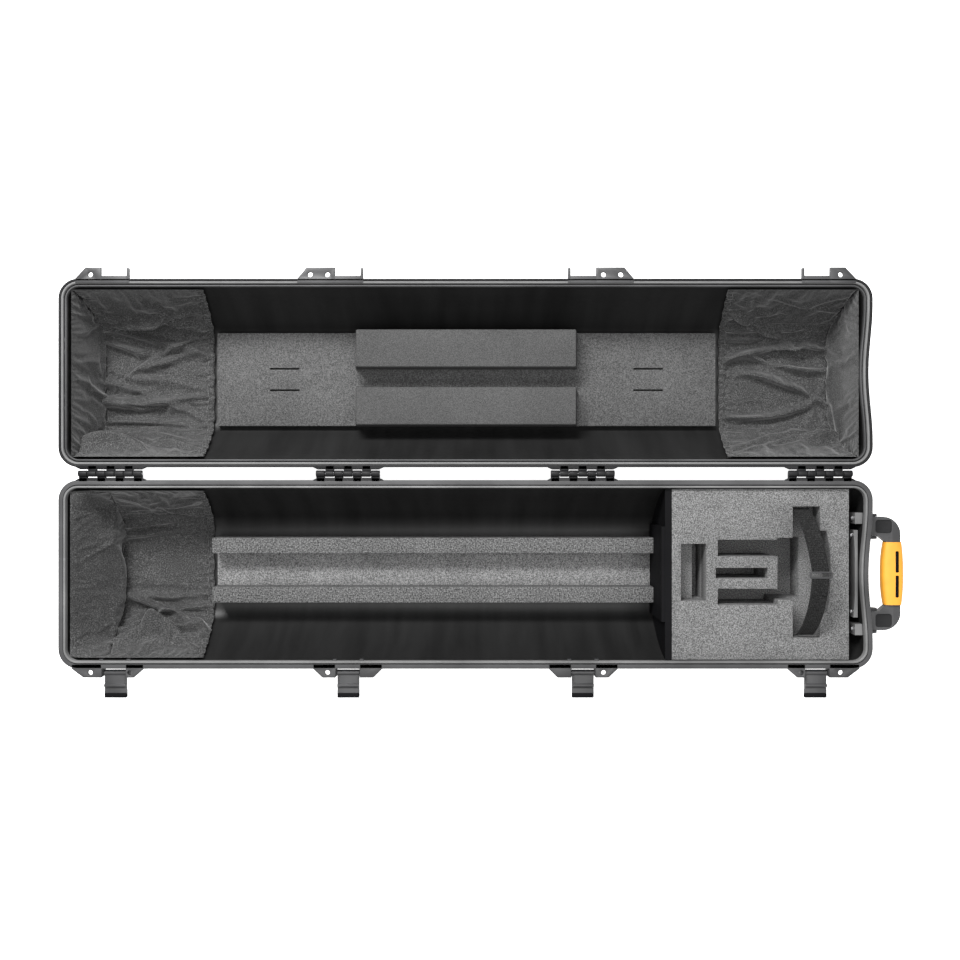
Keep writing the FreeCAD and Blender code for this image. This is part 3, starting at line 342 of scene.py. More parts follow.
def settle(piece, sharp=None):
    """Turn a piece's modifiers into its mesh."""
    bpy.context.view_layer.update()
    final = bpy.data.meshes.new_from_object(
        piece.evaluated_get(bpy.context.evaluated_depsgraph_get()))
    piece.modifiers.clear()
    piece.data = final
    if sharp:
        smooth(piece, sharp)
    return piece


def bevelled(piece, width, segments=3, angle=40, sharp=50):
    bevel = piece.modifiers.new("edges", "BEVEL")
    bevel.width = width * MM
    bevel.segments = segments
    bevel.limit_method = "ANGLE"
    bevel.angle_limit = math.radians(angle)
    bevel.use_clamp_overlap = True
    return settle(piece, sharp)


def joined(pieces):
    """One piece from several on the same body, the first one's name kept."""
    first = pieces[0]
    with bpy.context.temp_override(active_object=first, selected_editable_objects=pieces):
        bpy.ops.object.join()
    return first


def carve(piece, tools, kind="DIFFERENCE"):
    """Cut other closed pieces out of a piece, or add them to it, and drop them."""
    for tool in tools:
        cutter = piece.modifiers.new("cut", "BOOLEAN")
        cutter.operation = kind
        cutter.solver = "EXACT"
        cutter.material_mode = "TRANSFER"
        cutter.object = tool
    settle(piece)
    for tool in tools:
        bpy.data.objects.remove(tool)
    return piece


AXIS_ORDER = {"x": (2, 0, 1), "y": (0, 2, 1), "z": (0, 1, 2)}


def prism(name, outline, axis, low, high, body, slot="shell_plastic", skin=None):
    """A flat outline pushed along an axis. The outline is in the other two axes, in X, Y, Z order."""
    order = AXIS_ORDER[axis]
    points = []
    for level in (low, high):
        for a, b in outline:
            triple = (a, b, level)
            points.append(tuple(triple[i] for i in order))
    count = len(outline)
    faces = [tuple(range(count))[::-1], tuple(range(count, 2 * count))]
    faces += [(i, (i + 1) % count, (i + 1) % count + count, i + count) for i in range(count)]
    return make(name, points, faces, body, slot, skin)


def block(name, low, high, body, slot="shell_plastic", skin=None):
    outline = [(low[0], low[1]), (high[0], low[1]), (high[0], high[1]), (low[0], high[1])]
    return prism(name, outline, "z", low[2], high[2], body, slot, skin)


def upward(path):
    """Unit normals of a line in the YZ plane, on its upper side at the middle."""
    tangent = np.gradient(path, axis=0)
    tangent /= np.linalg.norm(tangent, axis=1, keepdims=True)
    normal = np.column_stack([-tangent[:, 1], tangent[:, 0]])
    return normal if normal[len(path) // 2, 1] >= 0 else -normal


def tube_faces(steps, around):
    """The faces of a closed tube of so many rings, with as many points round each."""
    faces = [(i * around + k, i * around + (k + 1) % around, (i + 1) * around + (k + 1) % around,
              (i + 1) * around + k) for i in range(steps - 1) for k in range(around)]
    return faces + [tuple(range(around)), tuple(range((steps - 1) * around, steps * around))[::-1]]


def circle(radius, centre=(0, 0), steps=32):
    return [(centre[0] + radius * math.cos(2 * math.pi * i / steps),
             centre[1] + radius * math.sin(2 * math.pi * i / steps)) for i in range(steps)]


def arc_points(centre, radius, start, stop, steps):
    """Points along an arc; angles in degrees."""
    angles = [math.radians(start + (stop - start) * i / steps) for i in range(steps + 1)]
    return [(centre[0] + radius * math.cos(a), centre[1] + radius * math.sin(a)) for a in angles]


def rounded(low, high, radius, steps=6):
    """A rectangle with round corners, counter-clockwise."""
    corners = (((high[0] - radius, low[1] + radius), -90), ((high[0] - radius, high[1] - radius), 0),
               ((low[0] + radius, high[1] - radius), 90), ((low[0] + radius, low[1] + radius), 180))
    return [p for centre, start in corners
            for p in arc_points(centre, radius, start, start + 90, steps)]


# ---------------------------------------------------------------- the two shells
ARC_STEPS, END_STEPS, SIDE_STEPS = 9, 40, 64


def plan_ring(side, half_length, half_width, corner, waist, z):
    """A level line round one half: straight sides, round corners, a waist at the handle end."""
    middle = side * HALF_CENTRE
    inner_x, inner_y = half_length - corner, half_width - corner
    ring = []
    for i in range(SIDE_STEPS):
        ring.append((-inner_x + 2 * inner_x * i / SIDE_STEPS, -half_width))
    ring += arc_points((inner_x, -inner_y), corner, -90, 0, ARC_STEPS)[:-1]
    for i in range(END_STEPS):
        y = -inner_y + 2 * inner_y * i / END_STEPS
        dip = (1 + math.cos(math.pi * min(abs(y) / WAIST_REACH, 1))) / 2
        ring.append((half_length - waist * dip, y))
    ring += arc_points((inner_x, inner_y), corner, 0, 90, ARC_STEPS)[:-1]
    for i in range(SIDE_STEPS):
        ring.append((inner_x - 2 * inner_x * i / SIDE_STEPS, half_width))
    ring += arc_points((-inner_x, inner_y), corner, 90, 180, ARC_STEPS)[:-1]
    for i in range(END_STEPS):
        ring.append((-half_length, inner_y - 2 * inner_y * i / END_STEPS))
    ring += arc_points((-inner_x, -inner_y), corner, 180, 270, ARC_STEPS)[:-1]
    return [(x, y + middle, z) for x, y in ring]


def rim_line(side, inset, z):
    return plan_ring(side, HALF_LENGTH - inset, HALF_WIDTH - inset, CORNER - inset, WAIST, z)


def hull_line(side, z, grow):
    """A level line round the hull, inside (grow 0) or outside."""
    depth = (RIM - z) / (RIM - FLOOR_Z)
    corner = CORNER - OPENING + grow + 16 * depth
    return plan_ring(side, end_reach(z, grow), barrel(z, grow), corner, WAIST, z)


def banded(name, rings, body, slot, closed=False):
    """A surface through level lines that all have as many points."""
    count = len(rings[0])
    points = [p for ring in rings for p in ring]
    faces = []
    pairs = list(zip(range(len(rings)), range(1, len(rings))))
    if closed:
        pairs.append((len(rings) - 1, 0))
    for a, b in pairs:
        for i in range(count):
            j = (i + 1) % count
            faces.append((a * count + i, a * count + j, b * count + j, b * count + i))
    if not closed:
        faces.append(tuple(range(count))[::-1])
        faces.append(tuple(range(len(points) - count, len(points))))
    return make(name, points, faces, body, slot)


HULL_LEVELS = (0, 0.15, 0.6, 1.6, 3, 5, 7.5, 10.5, 14, 20, 28, 40, 56, 74, 94, 114)
BASE_RIM = [  # (inset, height above the rim's plane), from the opening outward
    (OPENING, -8), (OPENING, 1.6), (13.2, 2.3), (12.6, 2.6), (10.9, 2.6), (10.2, 2.3),
    (9.9, 1.7), (9.75, -1.6), (9.5, -1.8), (8.4, -1.8), (8.2, -1.6), (8.1, -0.7), (7.8, -SEAM_GAP),
    (1.3, -SEAM_GAP), (0.4, -0.8), (0, -1.7), (0, -5.4), (0.3, -6.1), (0.9, -6.4), (9.0, -6.4),
    (9.6, -7)]
LID_RIM = [
    (OPENING, -10), (OPENING, -4.6), (13.2, -3.8), (12.5, -3.4), (11.5, -3.4), (10.9, -3.7),
    (10.6, -4.4), (10.6, -6.4), (4.2, -6.4), (4.2, -1.2), (4.0, -0.7), (3.5, -SEAM_GAP),
    (1.2, -SEAM_GAP), (0.4, -0.8), (0, -1.7), (0, -9.0), (0.3, -9.7), (1.0, -10), (9.0, -10),
    (9.6, -10.6)]
RIM_ZONES = {  # the skins of the rim, each up to a place in its profile, from the opening outward: a painted highlight on the base's tongue, painted shade in the grooves and on the lid's outer flange and skirt, painted light on the other top faces
    BASE: {"tongue_highlight_plastic": 6, "edge_plastic": 10, "lit_rim_plastic": 15},
    LID: {"lit_rim_plastic": 7, "edge_plastic": 19},
}


def tray(name, side, body, rim):
    """One half's hull and rim as one closed surface, the inside in bare glossy plastic."""
    inside = [hull_line(side, FLOOR_Z + lift, 0) for lift in HULL_LEVELS]
    outside = [hull_line(side, FLOOR_Z - WALL + lift, WALL) for lift in HULL_LEVELS]
    rings = inside + [rim_line(side, inset, RIM + z) for inset, z in rim] + outside[::-1]
    shell = banded(name, rings, body, "shell_plastic")
    zones = RIM_ZONES[side]
    for skin in ("inside_plastic", *zones):
        shell.data.materials.append(MATERIALS[skin])
    count = len(rings[0])
    last = len(shell.data.polygons) - 2
    for face in shell.data.polygons:
        strip = face.index // count - len(inside)
        if strip < 0 or face.index == last:
            face.material_index = 1
            continue
        for index, limit in enumerate(zones.values(), start=2):
            if strip < limit:
                face.material_index = index
                break
    return shell


def band(side, x, body):
    """A raised rib bowed round the outside of the hull."""
    grow, half = WALL + 3, 9
    heights = [FLOOR_Z - grow + (RIM - 12 - FLOOR_Z + grow) * i / 14 for i in range(15)]
    left = [(side * HALF_CENTRE - barrel(z, grow), z) for z in heights[::-1]]
    right = [(side * HALF_CENTRE + barrel(z, grow), z) for z in heights]
    inner = [(side * HALF_CENTRE + barrel(z + 2, WALL - 1), max(z, FLOOR_Z - WALL + 1))
             for z in heights[::-1]]
    inner += [(side * HALF_CENTRE - barrel(z + 2, WALL - 1), max(z, FLOOR_Z - WALL + 1))
              for z in heights]
    return prism("band", left + right + inner, "x", x - half, x + half, body)


def skid(side, hand, body):
    middle = side * HALF_CENTRE + hand * 62
    return block("skid", (-600, middle - 9, 0), (640, middle + 9, 5), body)


def nubs(side, body):
    made = []
    for start, end in ((108, 115), (128.5, 135.5), (203.5, 212), (224, 232.4)):
        low, high = sorted((side * start, side * end))
        made.append(block("nub", (-HALF_LENGTH - 2.2, low, 60), (-683, high, RIM - 5.6), body))
    return made


def tab(name, side, latch, hand, start, top, foot, reach, holes, body):
    """A plate outside the rim with its far end sloped, drilled for a padlock."""
    root = HALF_CENTRE + HALF_WIDTH - 8
    outline = [(start, root), (foot, root), (foot, root + 8), (top, reach), (start, reach)]
    outline = [(latch + hand * x, side * y) for x, y in outline]
    plate = prism(name, outline, "z", RIM - 6, RIM - SEAM_GAP, body, skin="latch_plastic")
    if holes:
        carve(plate, [prism("drill", circle(4.2, (latch + hand * x, side * 339.5), 28), "z",
                            RIM - 9, RIM + 3, body) for x in holes])
    return bevelled(plate, 0.8, 2)


BASE_TABS = {True: ((52, 72, (40,)), (34, 51, (27.5,))), False: ((43, 59, (34.5,)), (44, 59, ()))}
LID_TABS = {True: (48, 66, (40,)), False: (70, 86, (34.5, 64))}


def base_fittings():
    made = []
    for latch in LATCH_X:
        outer = abs(latch) > 400
        out_hand = 1 if latch > 0 else -1
        for hand, (top, foot, holes) in zip((out_hand, -out_hand), BASE_TABS[outer]):
            made.append(tab("tab", BASE, latch, hand, 20.5, top, foot, 348, holes, "base"))
            low, high = sorted((latch + hand * 19.3, latch + hand * 27))
            lug = block("lug", (low, -347, 125), (high, -317, RIM - 5), "base")
            made.append(bevelled(lug, 1.2, 3))
    for hand in (-1, 1):
        for near, far in ((59.5, 64), (98.3, 102.8)):
            low, high = sorted((-HALF_CENTRE + hand * near, -HALF_CENTRE + hand * far))
            outline = [(683, 109), (HANDLE_X, 109)]
            outline += arc_points((HANDLE_X, HANDLE_Z), 8.5, -90, 90, 12)[1:-1]
            outline += [(HANDLE_X, 127), (683, 127)]
            ear = prism("ear", outline, "y", low, high, "base")
            made.append(bevelled(ear, 0.8, 2))
    return made


def lid_fittings():
    made = []
    for latch in LATCH_X:
        outer = abs(latch) > 400
        hand = 1 if latch > 0 else -1
        top, foot, holes = LID_TABS[outer]
        made.append(tab("tab", LID, latch, hand, 21.5, top, foot, 352, holes, "lid"))
        low, high = sorted((latch - hand * 21.5, latch - hand * 26.5))
        for name, start, end, reach, edge, segments in (
                ("post", low, high, 351, 0.8, 2),
                ("strip", latch - 22.5, latch + 22.5, 337.6, 0.9, 3)):
            piece = block(name, (start, 325, RIM - 6), (end, reach, RIM - SEAM_GAP), "lid",
                          skin="latch_plastic")
            made.append(bevelled(piece, edge, segments))
    return made


def hinge_half(side, body, first):
    """This half's knuckles, their arms and the sloped shoulders."""
    made = []
    pitch, width, radius = 15.6, 15.0, 5.5
    for hinge in HINGE_X:
        outline = [(-60, 13), (60, 13), (60, 10.6), (52, 7), (-52, 7), (-60, 10.6)]
        plate = prism("shoulder", [(hinge + x, side * y) for x, y in outline], "z",
                      RIM - 6, RIM - SEAM_GAP, body, skin="edge_plastic")
        made.append(bevelled(plate, 0.7, 2))
        for index in range(first, 7, 2):
            start = hinge + (index - 3.5) * pitch
            profile = arc_points((0, RIM), radius, 90, 270, 14) + [(14, RIM - radius),
                                                                   (14, RIM - SEAM_GAP)]
            profile += [(radius + 0.5, RIM - SEAM_GAP)]
            profile += arc_points((0, RIM), radius, 4, 90, 5)[:-1]
            knuckle = prism("knuckle", [(side * y, z) for y, z in profile], "x", start,
                            start + width, body, skin="edge_plastic")
            made.append(bevelled(knuckle, 0.9, 2, 60))
    return made


def shells():
    base = tray("base_moulding", BASE, "base", BASE_RIM)
    wells, houses = [], []
    for hand in (-1, 1):
        y = -HALF_CENTRE + hand * 95
        houses.append(block("house", (-684.5, y - 21.5, 4.2), (-636.5, y + 21.5, 60.5), "base"))
        wells.append(block("well", (-705, y - 18, -3), (-640, y + 18, 57), "base"))
    carve(base, houses, "UNION")
    carve(base, wells)
    smooth(base)
    lid = tray("lid_moulding", LID, "lid", LID_RIM)
    for side, body, shell, extra in ((BASE, "base", base, base_fittings() + hinge_half(BASE, "base", 0)),
                                     (LID, "lid", lid, lid_fittings() + hinge_half(LID, "lid", 1))):
        ribs = [band(side, x, body) for x in (-500, -300, -100, 100, 300, 500)]
        ribs += [skid(side, hand, body) for hand in (-1, 1)] + nubs(side, body)
        joined([shell] + [bevelled(rib, 1.2, 2) for rib in ribs] + extra)
    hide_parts("base_shell")
    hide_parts("lid_shell")
    seal_profile = [(4.35, -6.3), (8.6, -6.3), (8.6, -2.6), (8.1, -1.6), (7.3, -1.05), (5.7, -1.05),
                    (4.9, -1.6), (4.35, -2.6)]
    seal = banded("lid_seal", [rim_line(LID, inset, RIM + z) for inset, z in seal_profile], "lid",
                  "seal_rubber", closed=True)
    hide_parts("lid_gasket")


shells()

# ---------------------------------------------------------------- fabric linings of the ends
CLOTH_TOP, CLOTH_INSET = 137, 3.6
MOUTH_WALL, MOUTH_FLOOR = 448, 463
SEAM_PLACES = (0.285, 0.745)


def lining_section(inset, count):
    """The bowed section from the rear top edge down, across and up again, evenly spaced."""
    low = FLOOR_Z + inset
    heights = np.linspace(CLOTH_TOP, low, 60)
    wall = [(barrel(z, -inset), z) for z in heights]
    across = [(y, low) for y in np.linspace(wall[-1][0], 0, 40)[1:]]
    half = np.array(wall + across)
    whole = np.vstack([half * (-1, 1), half[-2::-1]])
    steps = np.hypot(*np.diff(whole, axis=0).T)
    travel = np.concatenate([[0], np.cumsum(steps)])
    even = np.linspace(0, travel[-1], 400)
    path = np.column_stack([np.interp(even, travel, whole[:, i]) for i in (0, 1)])
    for _ in range(120):
        path[1:-1] = (path[:-2] + 2 * path[1:-1] + path[2:]) / 4
    place = np.linspace(0, 1, count) * (len(path) - 1)
    index = np.arange(len(path))
    return np.column_stack([np.interp(place, index, path[:, i]) for i in (0, 1)]), travel[-1]


def mouth_line(section):
    """How far along X the mouth is at each point of a section: slanted, nearest at the walls' top."""
    depth = (CLOTH_TOP - section[:, 1]) / (CLOTH_TOP - FLOOR_Z)
    return MOUTH_WALL + (MOUTH_FLOOR - MOUTH_WALL) * np.clip(depth, 0, 1) ** 0.7


def lining_grid(side, hand, inset, end, columns, main_rows, end_rows):
    """Rows of points from the mouth along the walls and floor to the end seam, then up the end."""
    section, breadth = lining_section(inset, columns)
    level_z, panel_x, seam_x = (np.array(line, float) for line in end)
    panel_x, seam_x = panel_x - inset, seam_x - inset
    mouth = mouth_line(section)
    seam = np.interp(section[:, 1], level_z, seam_x)
    behind = np.interp(section[:, 1], level_z, panel_x)
    rows = []
    for t in np.linspace(0, 1, main_rows):
        rows.append(np.column_stack([mouth + (seam - mouth) * t, section]))
    level = np.linspace(-1, 1, columns) * (barrel(CLOTH_TOP, -inset) - 0.5)
    for w in np.linspace(0, 1, end_rows)[1:]:
        y = section[:, 0] + (level - section[:, 0]) * w
        z = section[:, 1] + (CLOTH_TOP - section[:, 1]) * w
        left = panel_x[-1] - behind
        share = np.where(left > 0.5, (np.interp(z, level_z, panel_x) - behind)
                         / np.maximum(left, 0.5), w)
        x = seam + (panel_x[-1] - seam) * share
        rows.append(np.column_stack([x, y, z]))
    grid = np.array(rows)
    grid[..., 0] *= hand
    grid[..., 1] += side * HALF_CENTRE
    return grid, breadth


def lining_mesh(name, grid, breadth, lengths, body, slot_name):
    """A grid of quads, with the cloth's own lengths as its texture coordinates, in metres."""
    rows, columns = grid.shape[:2]
    faces = [(r * columns + c, r * columns + c + 1, (r + 1) * columns + c + 1, (r + 1) * columns + c)
             for r in range(rows - 1) for c in range(columns - 1)]
    if grid[0, 0, 0] > 0:
        faces = [face[::-1] for face in faces]
    mesh = bpy.data.meshes.new(name)
    mesh.from_pydata([at(*p) for p in grid.reshape(-1, 3)], [], faces)
    weave = mesh.uv_layers.new(name="weave")
    across = np.linspace(0, breadth * MM, columns)
    for corner in mesh.loops:
        row, column = divmod(corner.vertex_index, columns)
        weave.data[corner.index].uv = (across[column], lengths[row] * MM)
    piece = bpy.data.objects.new(name, mesh)
    bpy.context.scene.collection.objects.link(piece)
    mesh.materials.append(MATERIALS[slot_name])
    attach(piece, body)
    return piece


def inward(grid):
    """Unit normals of a grid that point into the pouch."""
    along, across = np.gradient(grid, axis=0), np.gradient(grid, axis=1)
    normal = np.cross(along, across)
    normal /= np.linalg.norm(normal, axis=2, keepdims=True) + 1e-9
    middle = grid.shape[1] // 2
    return normal * (1 if normal[grid.shape[0] // 3, middle, 2] > 0 else -1)


def fold_height(across, along, breadth, length, dice, slack):
    """Soft drag folds that run lengthwise, swing sideways and fork; heights in millimetres."""
    height = np.zeros(np.broadcast(across, along).shape)
    for _ in range(17):
        start, slope = dice.uniform(0.1, 0.9) * breadth, dice.uniform(-0.42, 0.42)
        bend, width = dice.uniform(-0.0025, 0.0025), dice.uniform(6, 12)
        centre, reach = dice.uniform(0.1, 0.9) * length, dice.uniform(0.28, 0.6) * length
        away = across - start - slope * (along - centre) - bend * (along - centre) ** 2
        fade = np.exp(-((along - centre) / reach) ** 2)
        size = dice.uniform(7, 18) * slack * (1 if dice.random() < 0.75 else -0.6)
        height += size * fade * (np.exp(-(away / width) ** 2)
                                 - 0.45 * np.exp(-((away - 1.7 * width) / width) ** 2))
    return height


LININGS = (  # node, half, end, (heights, the end panel's X, the seam's X), slackness, seed
    ("base_pouch", BASE, -1, ((8, 66, 124, 137), (635, 638, 672, 680), (635, 630, 619, 650)), 1.3, 11),
    ("lid_pouch_left", LID, -1, ((8, 66, 137), (669, 675, 678), (669, 675, 678)), 1.2, 5),
    ("lid_pouch_right", LID, 1, ((8, 66, 137), (668, 673, 676), (668, 673, 676)), 1.2, 23),
)
COLUMNS, MAIN_ROWS, END_ROWS = 112, 52, 30
SETTLE_FRAMES = 26


def lining_cloth(node, side, hand, end, slack, seed):
    """A lining cut too big for its place, ready to settle, and what it settles against."""
    body = "base" if side == BASE else "lid"
    dice = np.random.default_rng(seed)
    grid, breadth = lining_grid(side, hand, CLOTH_INSET, end, COLUMNS, MAIN_ROWS, END_ROWS)
    rows = grid.shape[0]
    length = np.linalg.norm(np.diff(grid[:, COLUMNS // 2], axis=0), axis=1)
    along = np.concatenate([[0], np.cumsum(length)])
    across = np.linspace(0, breadth, COLUMNS)
    seam_at = along[MAIN_ROWS - 1]
    height = fold_height(across[None, :], along[:, None], breadth, seam_at, dice, slack)
    beyond = along[:, None] > seam_at
    height = np.where(beyond, height * 0.35, height)
    edge = np.minimum(across, breadth - across) / 45
    border = np.clip(edge, 0, 1)[None, :] * np.clip(along[:, None] / 12, 0, 1)
    border = border * np.clip((along[-1] - along[:, None]) / 25, 0, 1)
    border = border * np.clip(np.abs(along[:, None] - seam_at) / 8 + 0.1, 0, 1)
    belly = 10 * slack * np.sin(np.pi * np.clip((along[:, None] - seam_at)
                                                / (along[-1] - seam_at), 0, 1))
    belly = np.where(beyond, belly, 0) * (np.abs(np.sin(np.pi * across / breadth)) ** 1.5)[None, :]
    height = np.maximum(height, -1.5) * border + belly * (0.55 if side == BASE else 0.15)
    shaped = grid + inward(grid) * height[..., None]
    cloth = lining_mesh(node + "_cloth", shaped, breadth, along, body, "pouch_fabric")
    held = cloth.vertex_groups.new(name="held")
    weights = np.zeros((rows, COLUMNS))
    weights[MAIN_ROWS - 1] = 0.5
    for place in SEAM_PLACES:
        weights[:MAIN_ROWS, round(place * (COLUMNS - 1))] = 0.2
    weights[1, :] = 0.4
    weights[:, (1, -2)] = 0.5
    weights[-2, :] = 0.4
    weights[0, :] = weights[:, 0] = weights[:, -1] = weights[-1, :] = 1
    for index, weight in enumerate(weights.reshape(-1)):
        if weight > 0:
            held.add([index], float(weight), "REPLACE")
    backing, _ = lining_grid(side, hand, CLOTH_INSET - 2.4, end, 60, 26, 16)
    wall = lining_mesh(node + "_backing", backing, breadth, np.zeros(len(backing)), body,
                       "pouch_fabric")
    return cloth, wall, along, breadth, seam_at


def settle_cloths(pairs):
    """Let the linings buckle and sink for a moment against the shell, then keep that shape."""
    for cloth, wall in pairs:
        wall.modifiers.new("collision", "COLLISION")
        wall.collision.thickness_outer = 0.001
        wall.collision.thickness_inner = 0.004
        wall.collision.cloth_friction = 12
        sim = cloth.modifiers.new("cloth", "CLOTH")
        rules = sim.settings
        rules.quality = 6
        rules.mass = 0.25
        rules.tension_stiffness = rules.compression_stiffness = 40
        rules.shear_stiffness = 7
        rules.bending_stiffness = 1.2
        rules.air_damping = 2.5
        rules.shrink_min = -0.05
        rules.effector_weights.gravity = 0.15
        rules.vertex_group_mass = "held"
        rules.pin_stiffness = 1.2
        sim.collision_settings.distance_min = 0.0012
        sim.collision_settings.collision_quality = 3
        sim.point_cache.frame_start, sim.point_cache.frame_end = 1, SETTLE_FRAMES
    for moment in range(1, SETTLE_FRAMES + 1):
        bpy.context.scene.frame_set(moment)
    bpy.context.view_layer.update()


def stored(items, name, width):
    """A property of every item of a mesh, one row each."""
    numbers = np.empty(len(items) * width)
    items.foreach_get(name, numbers)
    return numbers.reshape(-1, width)


def finish_cloth(cloth, along, breadth, seam_at, seed):
    """Finer mesh, then the puckers at the gathered edges and the pinch of each seam."""
    finer = cloth.modifiers.new("finer", "SUBSURF")
    finer.levels = finer.render_levels = 1
    settle(cloth)
    mesh = cloth.data
    count = len(mesh.vertices)
    place = stored(mesh.vertices, "co", 3)
    normal = stored(mesh.vertex_normals, "vector", 3)
    if normal[:, 2].mean() < 0:
        normal = -normal
    corner_vertex = np.empty(len(mesh.loops), dtype=int)
    mesh.loops.foreach_get("vertex_index", corner_vertex)
    lay = np.zeros((count, 2))
    lay[corner_vertex] = stored(mesh.uv_layers["weave"].data, "uv", 2)
    across, forward = lay[:, 0] / MM, lay[:, 1] / MM
    dice = np.random.default_rng(seed + 100)
    wander = sum(dice.uniform(0.3, 1) * np.sin(2 * np.pi * across / dice.uniform(13, 60)
                                               + dice.uniform(0, 6.3)) for _ in range(6))
    pucker = np.sin(2 * np.pi * across / 10.5 + 1.3 * wander)
    strong = np.clip(0.55 + 0.4 * wander, 0.15, 1.4)
    reach = 11 + 5 * wander
    height = 2.6 * strong * pucker * np.exp(-np.maximum(forward - 2, 0) / np.maximum(reach, 5))
    seam_wave = np.sin(2 * np.pi * across / 17 + 2.2 * wander)
    off_seam = np.abs(forward - seam_at)
    height += 2.2 * strong * seam_wave * np.exp(-off_seam / 9) * np.clip(off_seam / 4, 0, 1)
    height -= 3.2 * np.exp(-(off_seam / 2.1) ** 2)
    for seam in SEAM_PLACES:
        bow = seam * breadth + 4 * np.sin(np.pi * forward / seam_at)
        off = across - bow
        inside = forward < seam_at
        height -= np.where(inside, 1.7 * np.exp(-(off / 1.8) ** 2), 0)
        height += np.where(inside, 1.3 * np.exp(-((off - 4.5) / 3.2) ** 2), 0)
    fade = np.clip(np.minimum(across, breadth - across) / 6, 0, 1)
    place += normal * (height * fade * MM)[:, None]
    mesh.vertices.foreach_set("co", place.reshape(-1))
    mesh.update()
    mesh.shade_smooth()


def gathered_hem(node, side, hand, body, seed):
    """The elastic tunnel at the mouth: a flattened tube, tightly ruched."""
    steps, around = 300, 12
    section, _ = lining_section(CLOTH_INSET + 0.4, steps)
    normal = upward(section)
    mouth = mouth_line(section)
    dice = np.random.default_rng(seed + 7)
    turn = np.cumsum(dice.uniform(0.35, 1.15, steps))
    points = []
    for i in range(steps):
        crease = 1 + 0.34 * math.sin(turn[i]) + 0.1 * math.sin(2.7 * turn[i] + 1)
        shift = 1.2 * math.sin(0.37 * turn[i])
        for k in range(around):
            angle = 2 * math.pi * k / around
            x = mouth[i] + 5.2 + shift + 5.6 * math.cos(angle)
            lift = (1.6 + 2.2 * math.sin(angle)) * crease * min(i / 9, (steps - 1 - i) / 9, 1)
            y, z = section[i] + normal[i] * lift
            points.append((hand * x, side * HALF_CENTRE + y, z))
    hem = make(node + "_ruche", points, tube_faces(steps, around), body, "pouch_fabric", sharp=70)
    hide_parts(node + "_hem")
    return hem


def linings():
    made = [(spec, *lining_cloth(*spec)) for spec in LININGS]
    settle_cloths([(cloth, wall) for _, cloth, wall, *_ in made])
    for spec, cloth, wall, along, breadth, seam_at in made:
        node, side, hand, _, _, seed = spec
        body = "base" if side == BASE else "lid"
        finish_cloth(cloth, along, breadth, seam_at, seed)
        bpy.data.objects.remove(wall)
        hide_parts(node)
        hem = gathered_hem(node, side, hand, body, seed)
    bpy.context.scene.frame_set(1)


linings()


# ---------------------------------------------------------------- foam
BLOCK_SLOPE = 6


def as_foam(node):
    """Let a foam piece stand for its node, full and tight."""
    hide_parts(node)


def foam_parts():
    # the rail's floor is painted lighter against the ridges' shade
    for node, skin in (("rail_floor", "foam_floor"), ("rail_ridge_rear", "foam_cut"),
                       ("rail_ridge_front", "foam_cut")):
        bar = bevelled(block(node + "_foam", *span(node), "base", "foam", skin), 1.2, 3)
        as_foam(node)
    low, high = span("lid_foam_slab")
    slab = block("lid_slab_foam", low, high, "lid", "foam", "foam_lid")
    slits = []
    for x in (-331, 331):
        for y in (-19.5, 19.5):
            slits.append(block("slit", (x - 27, HALF_CENTRE + y - 1.5, 0),
                               (x + 27, HALF_CENTRE + y + 1.5, 40), "lid", "foam",
                               "foam_lid"))
    carve(slab, slits)
    bevelled(slab, 1.0, 2)
    as_foam("lid_foam_slab")
    for node in ("lid_foam_block_rear", "lid_foam_block_front"):
        low, high = span(node)
        outline = [(low[0], low[2]), (high[0], low[2]), (high[0] - BLOCK_SLOPE, high[2]),
                   (low[0] + BLOCK_SLOPE, high[2])]
        piece = prism(node + "_foam", outline, "y", low[1], high[1], "lid", "foam",
                      "foam_smooth")
        bevelled(piece, 2.2, 3)
        as_foam(node)


def pockets(deep):
    low, high = 52, 145
    spots = [((395 if deep else 368, 411.6), (-217.6, -120)), ((431, 534), (-141.6, -113)),
             ((427.6, 516.3), (-179.3, -161)), ((431, 534), (-224.6, -196.7)),
             ((533, 581.5), (-215.9, -109.6))]
    made = [block("pocket", (x[0], y[0], low), (x[1], y[1], high), "base", "foam")
            for x, y in spots]
    if not deep:
        bulge = math.degrees(math.asin(70.75 / 357))
        centre = (617 - math.sqrt(357 ** 2 - 70.75 ** 2), -168.15)
        outline = [(559, -280.4), (606, -280.4), (606, -238.9)]
        outline += arc_points(centre, 357, -bulge, bulge, 20) + [(606, -97.4), (606, -56)]
        outline.append((559, -56))
        made.append(prism("hollow", outline, "z", low, high, "base", "foam"))
    return made


def foam_layers():
    for node, low, high, deep in (("foam_block_bottom", FLOOR_Z + 1, 52, None),
                                  ("foam_block_middle", 52, 100, True),
                                  ("foam_block_top", 100, 139, False)):
        heights = np.linspace(low, high, 8)
        outline = [(-HALF_CENTRE - barrel(z, -1), z) for z in heights[::-1]]
        outline += [(-HALF_CENTRE + barrel(z, -1), z) for z in heights]
        near, far = span(node)[0][0], span(node)[1][0]
        piece = prism(node + "_foam", outline, "x", near, far, "base", "foam")
        if deep is not None:
            carve(piece, pockets(deep))
        bevelled(piece, 0.9, 2)
        as_foam(node)


foam_parts()
foam_layers()


# ---------------------------------------------------------------- the strap over the cradle
STRAP_X, STRAP_Y = 588, -168


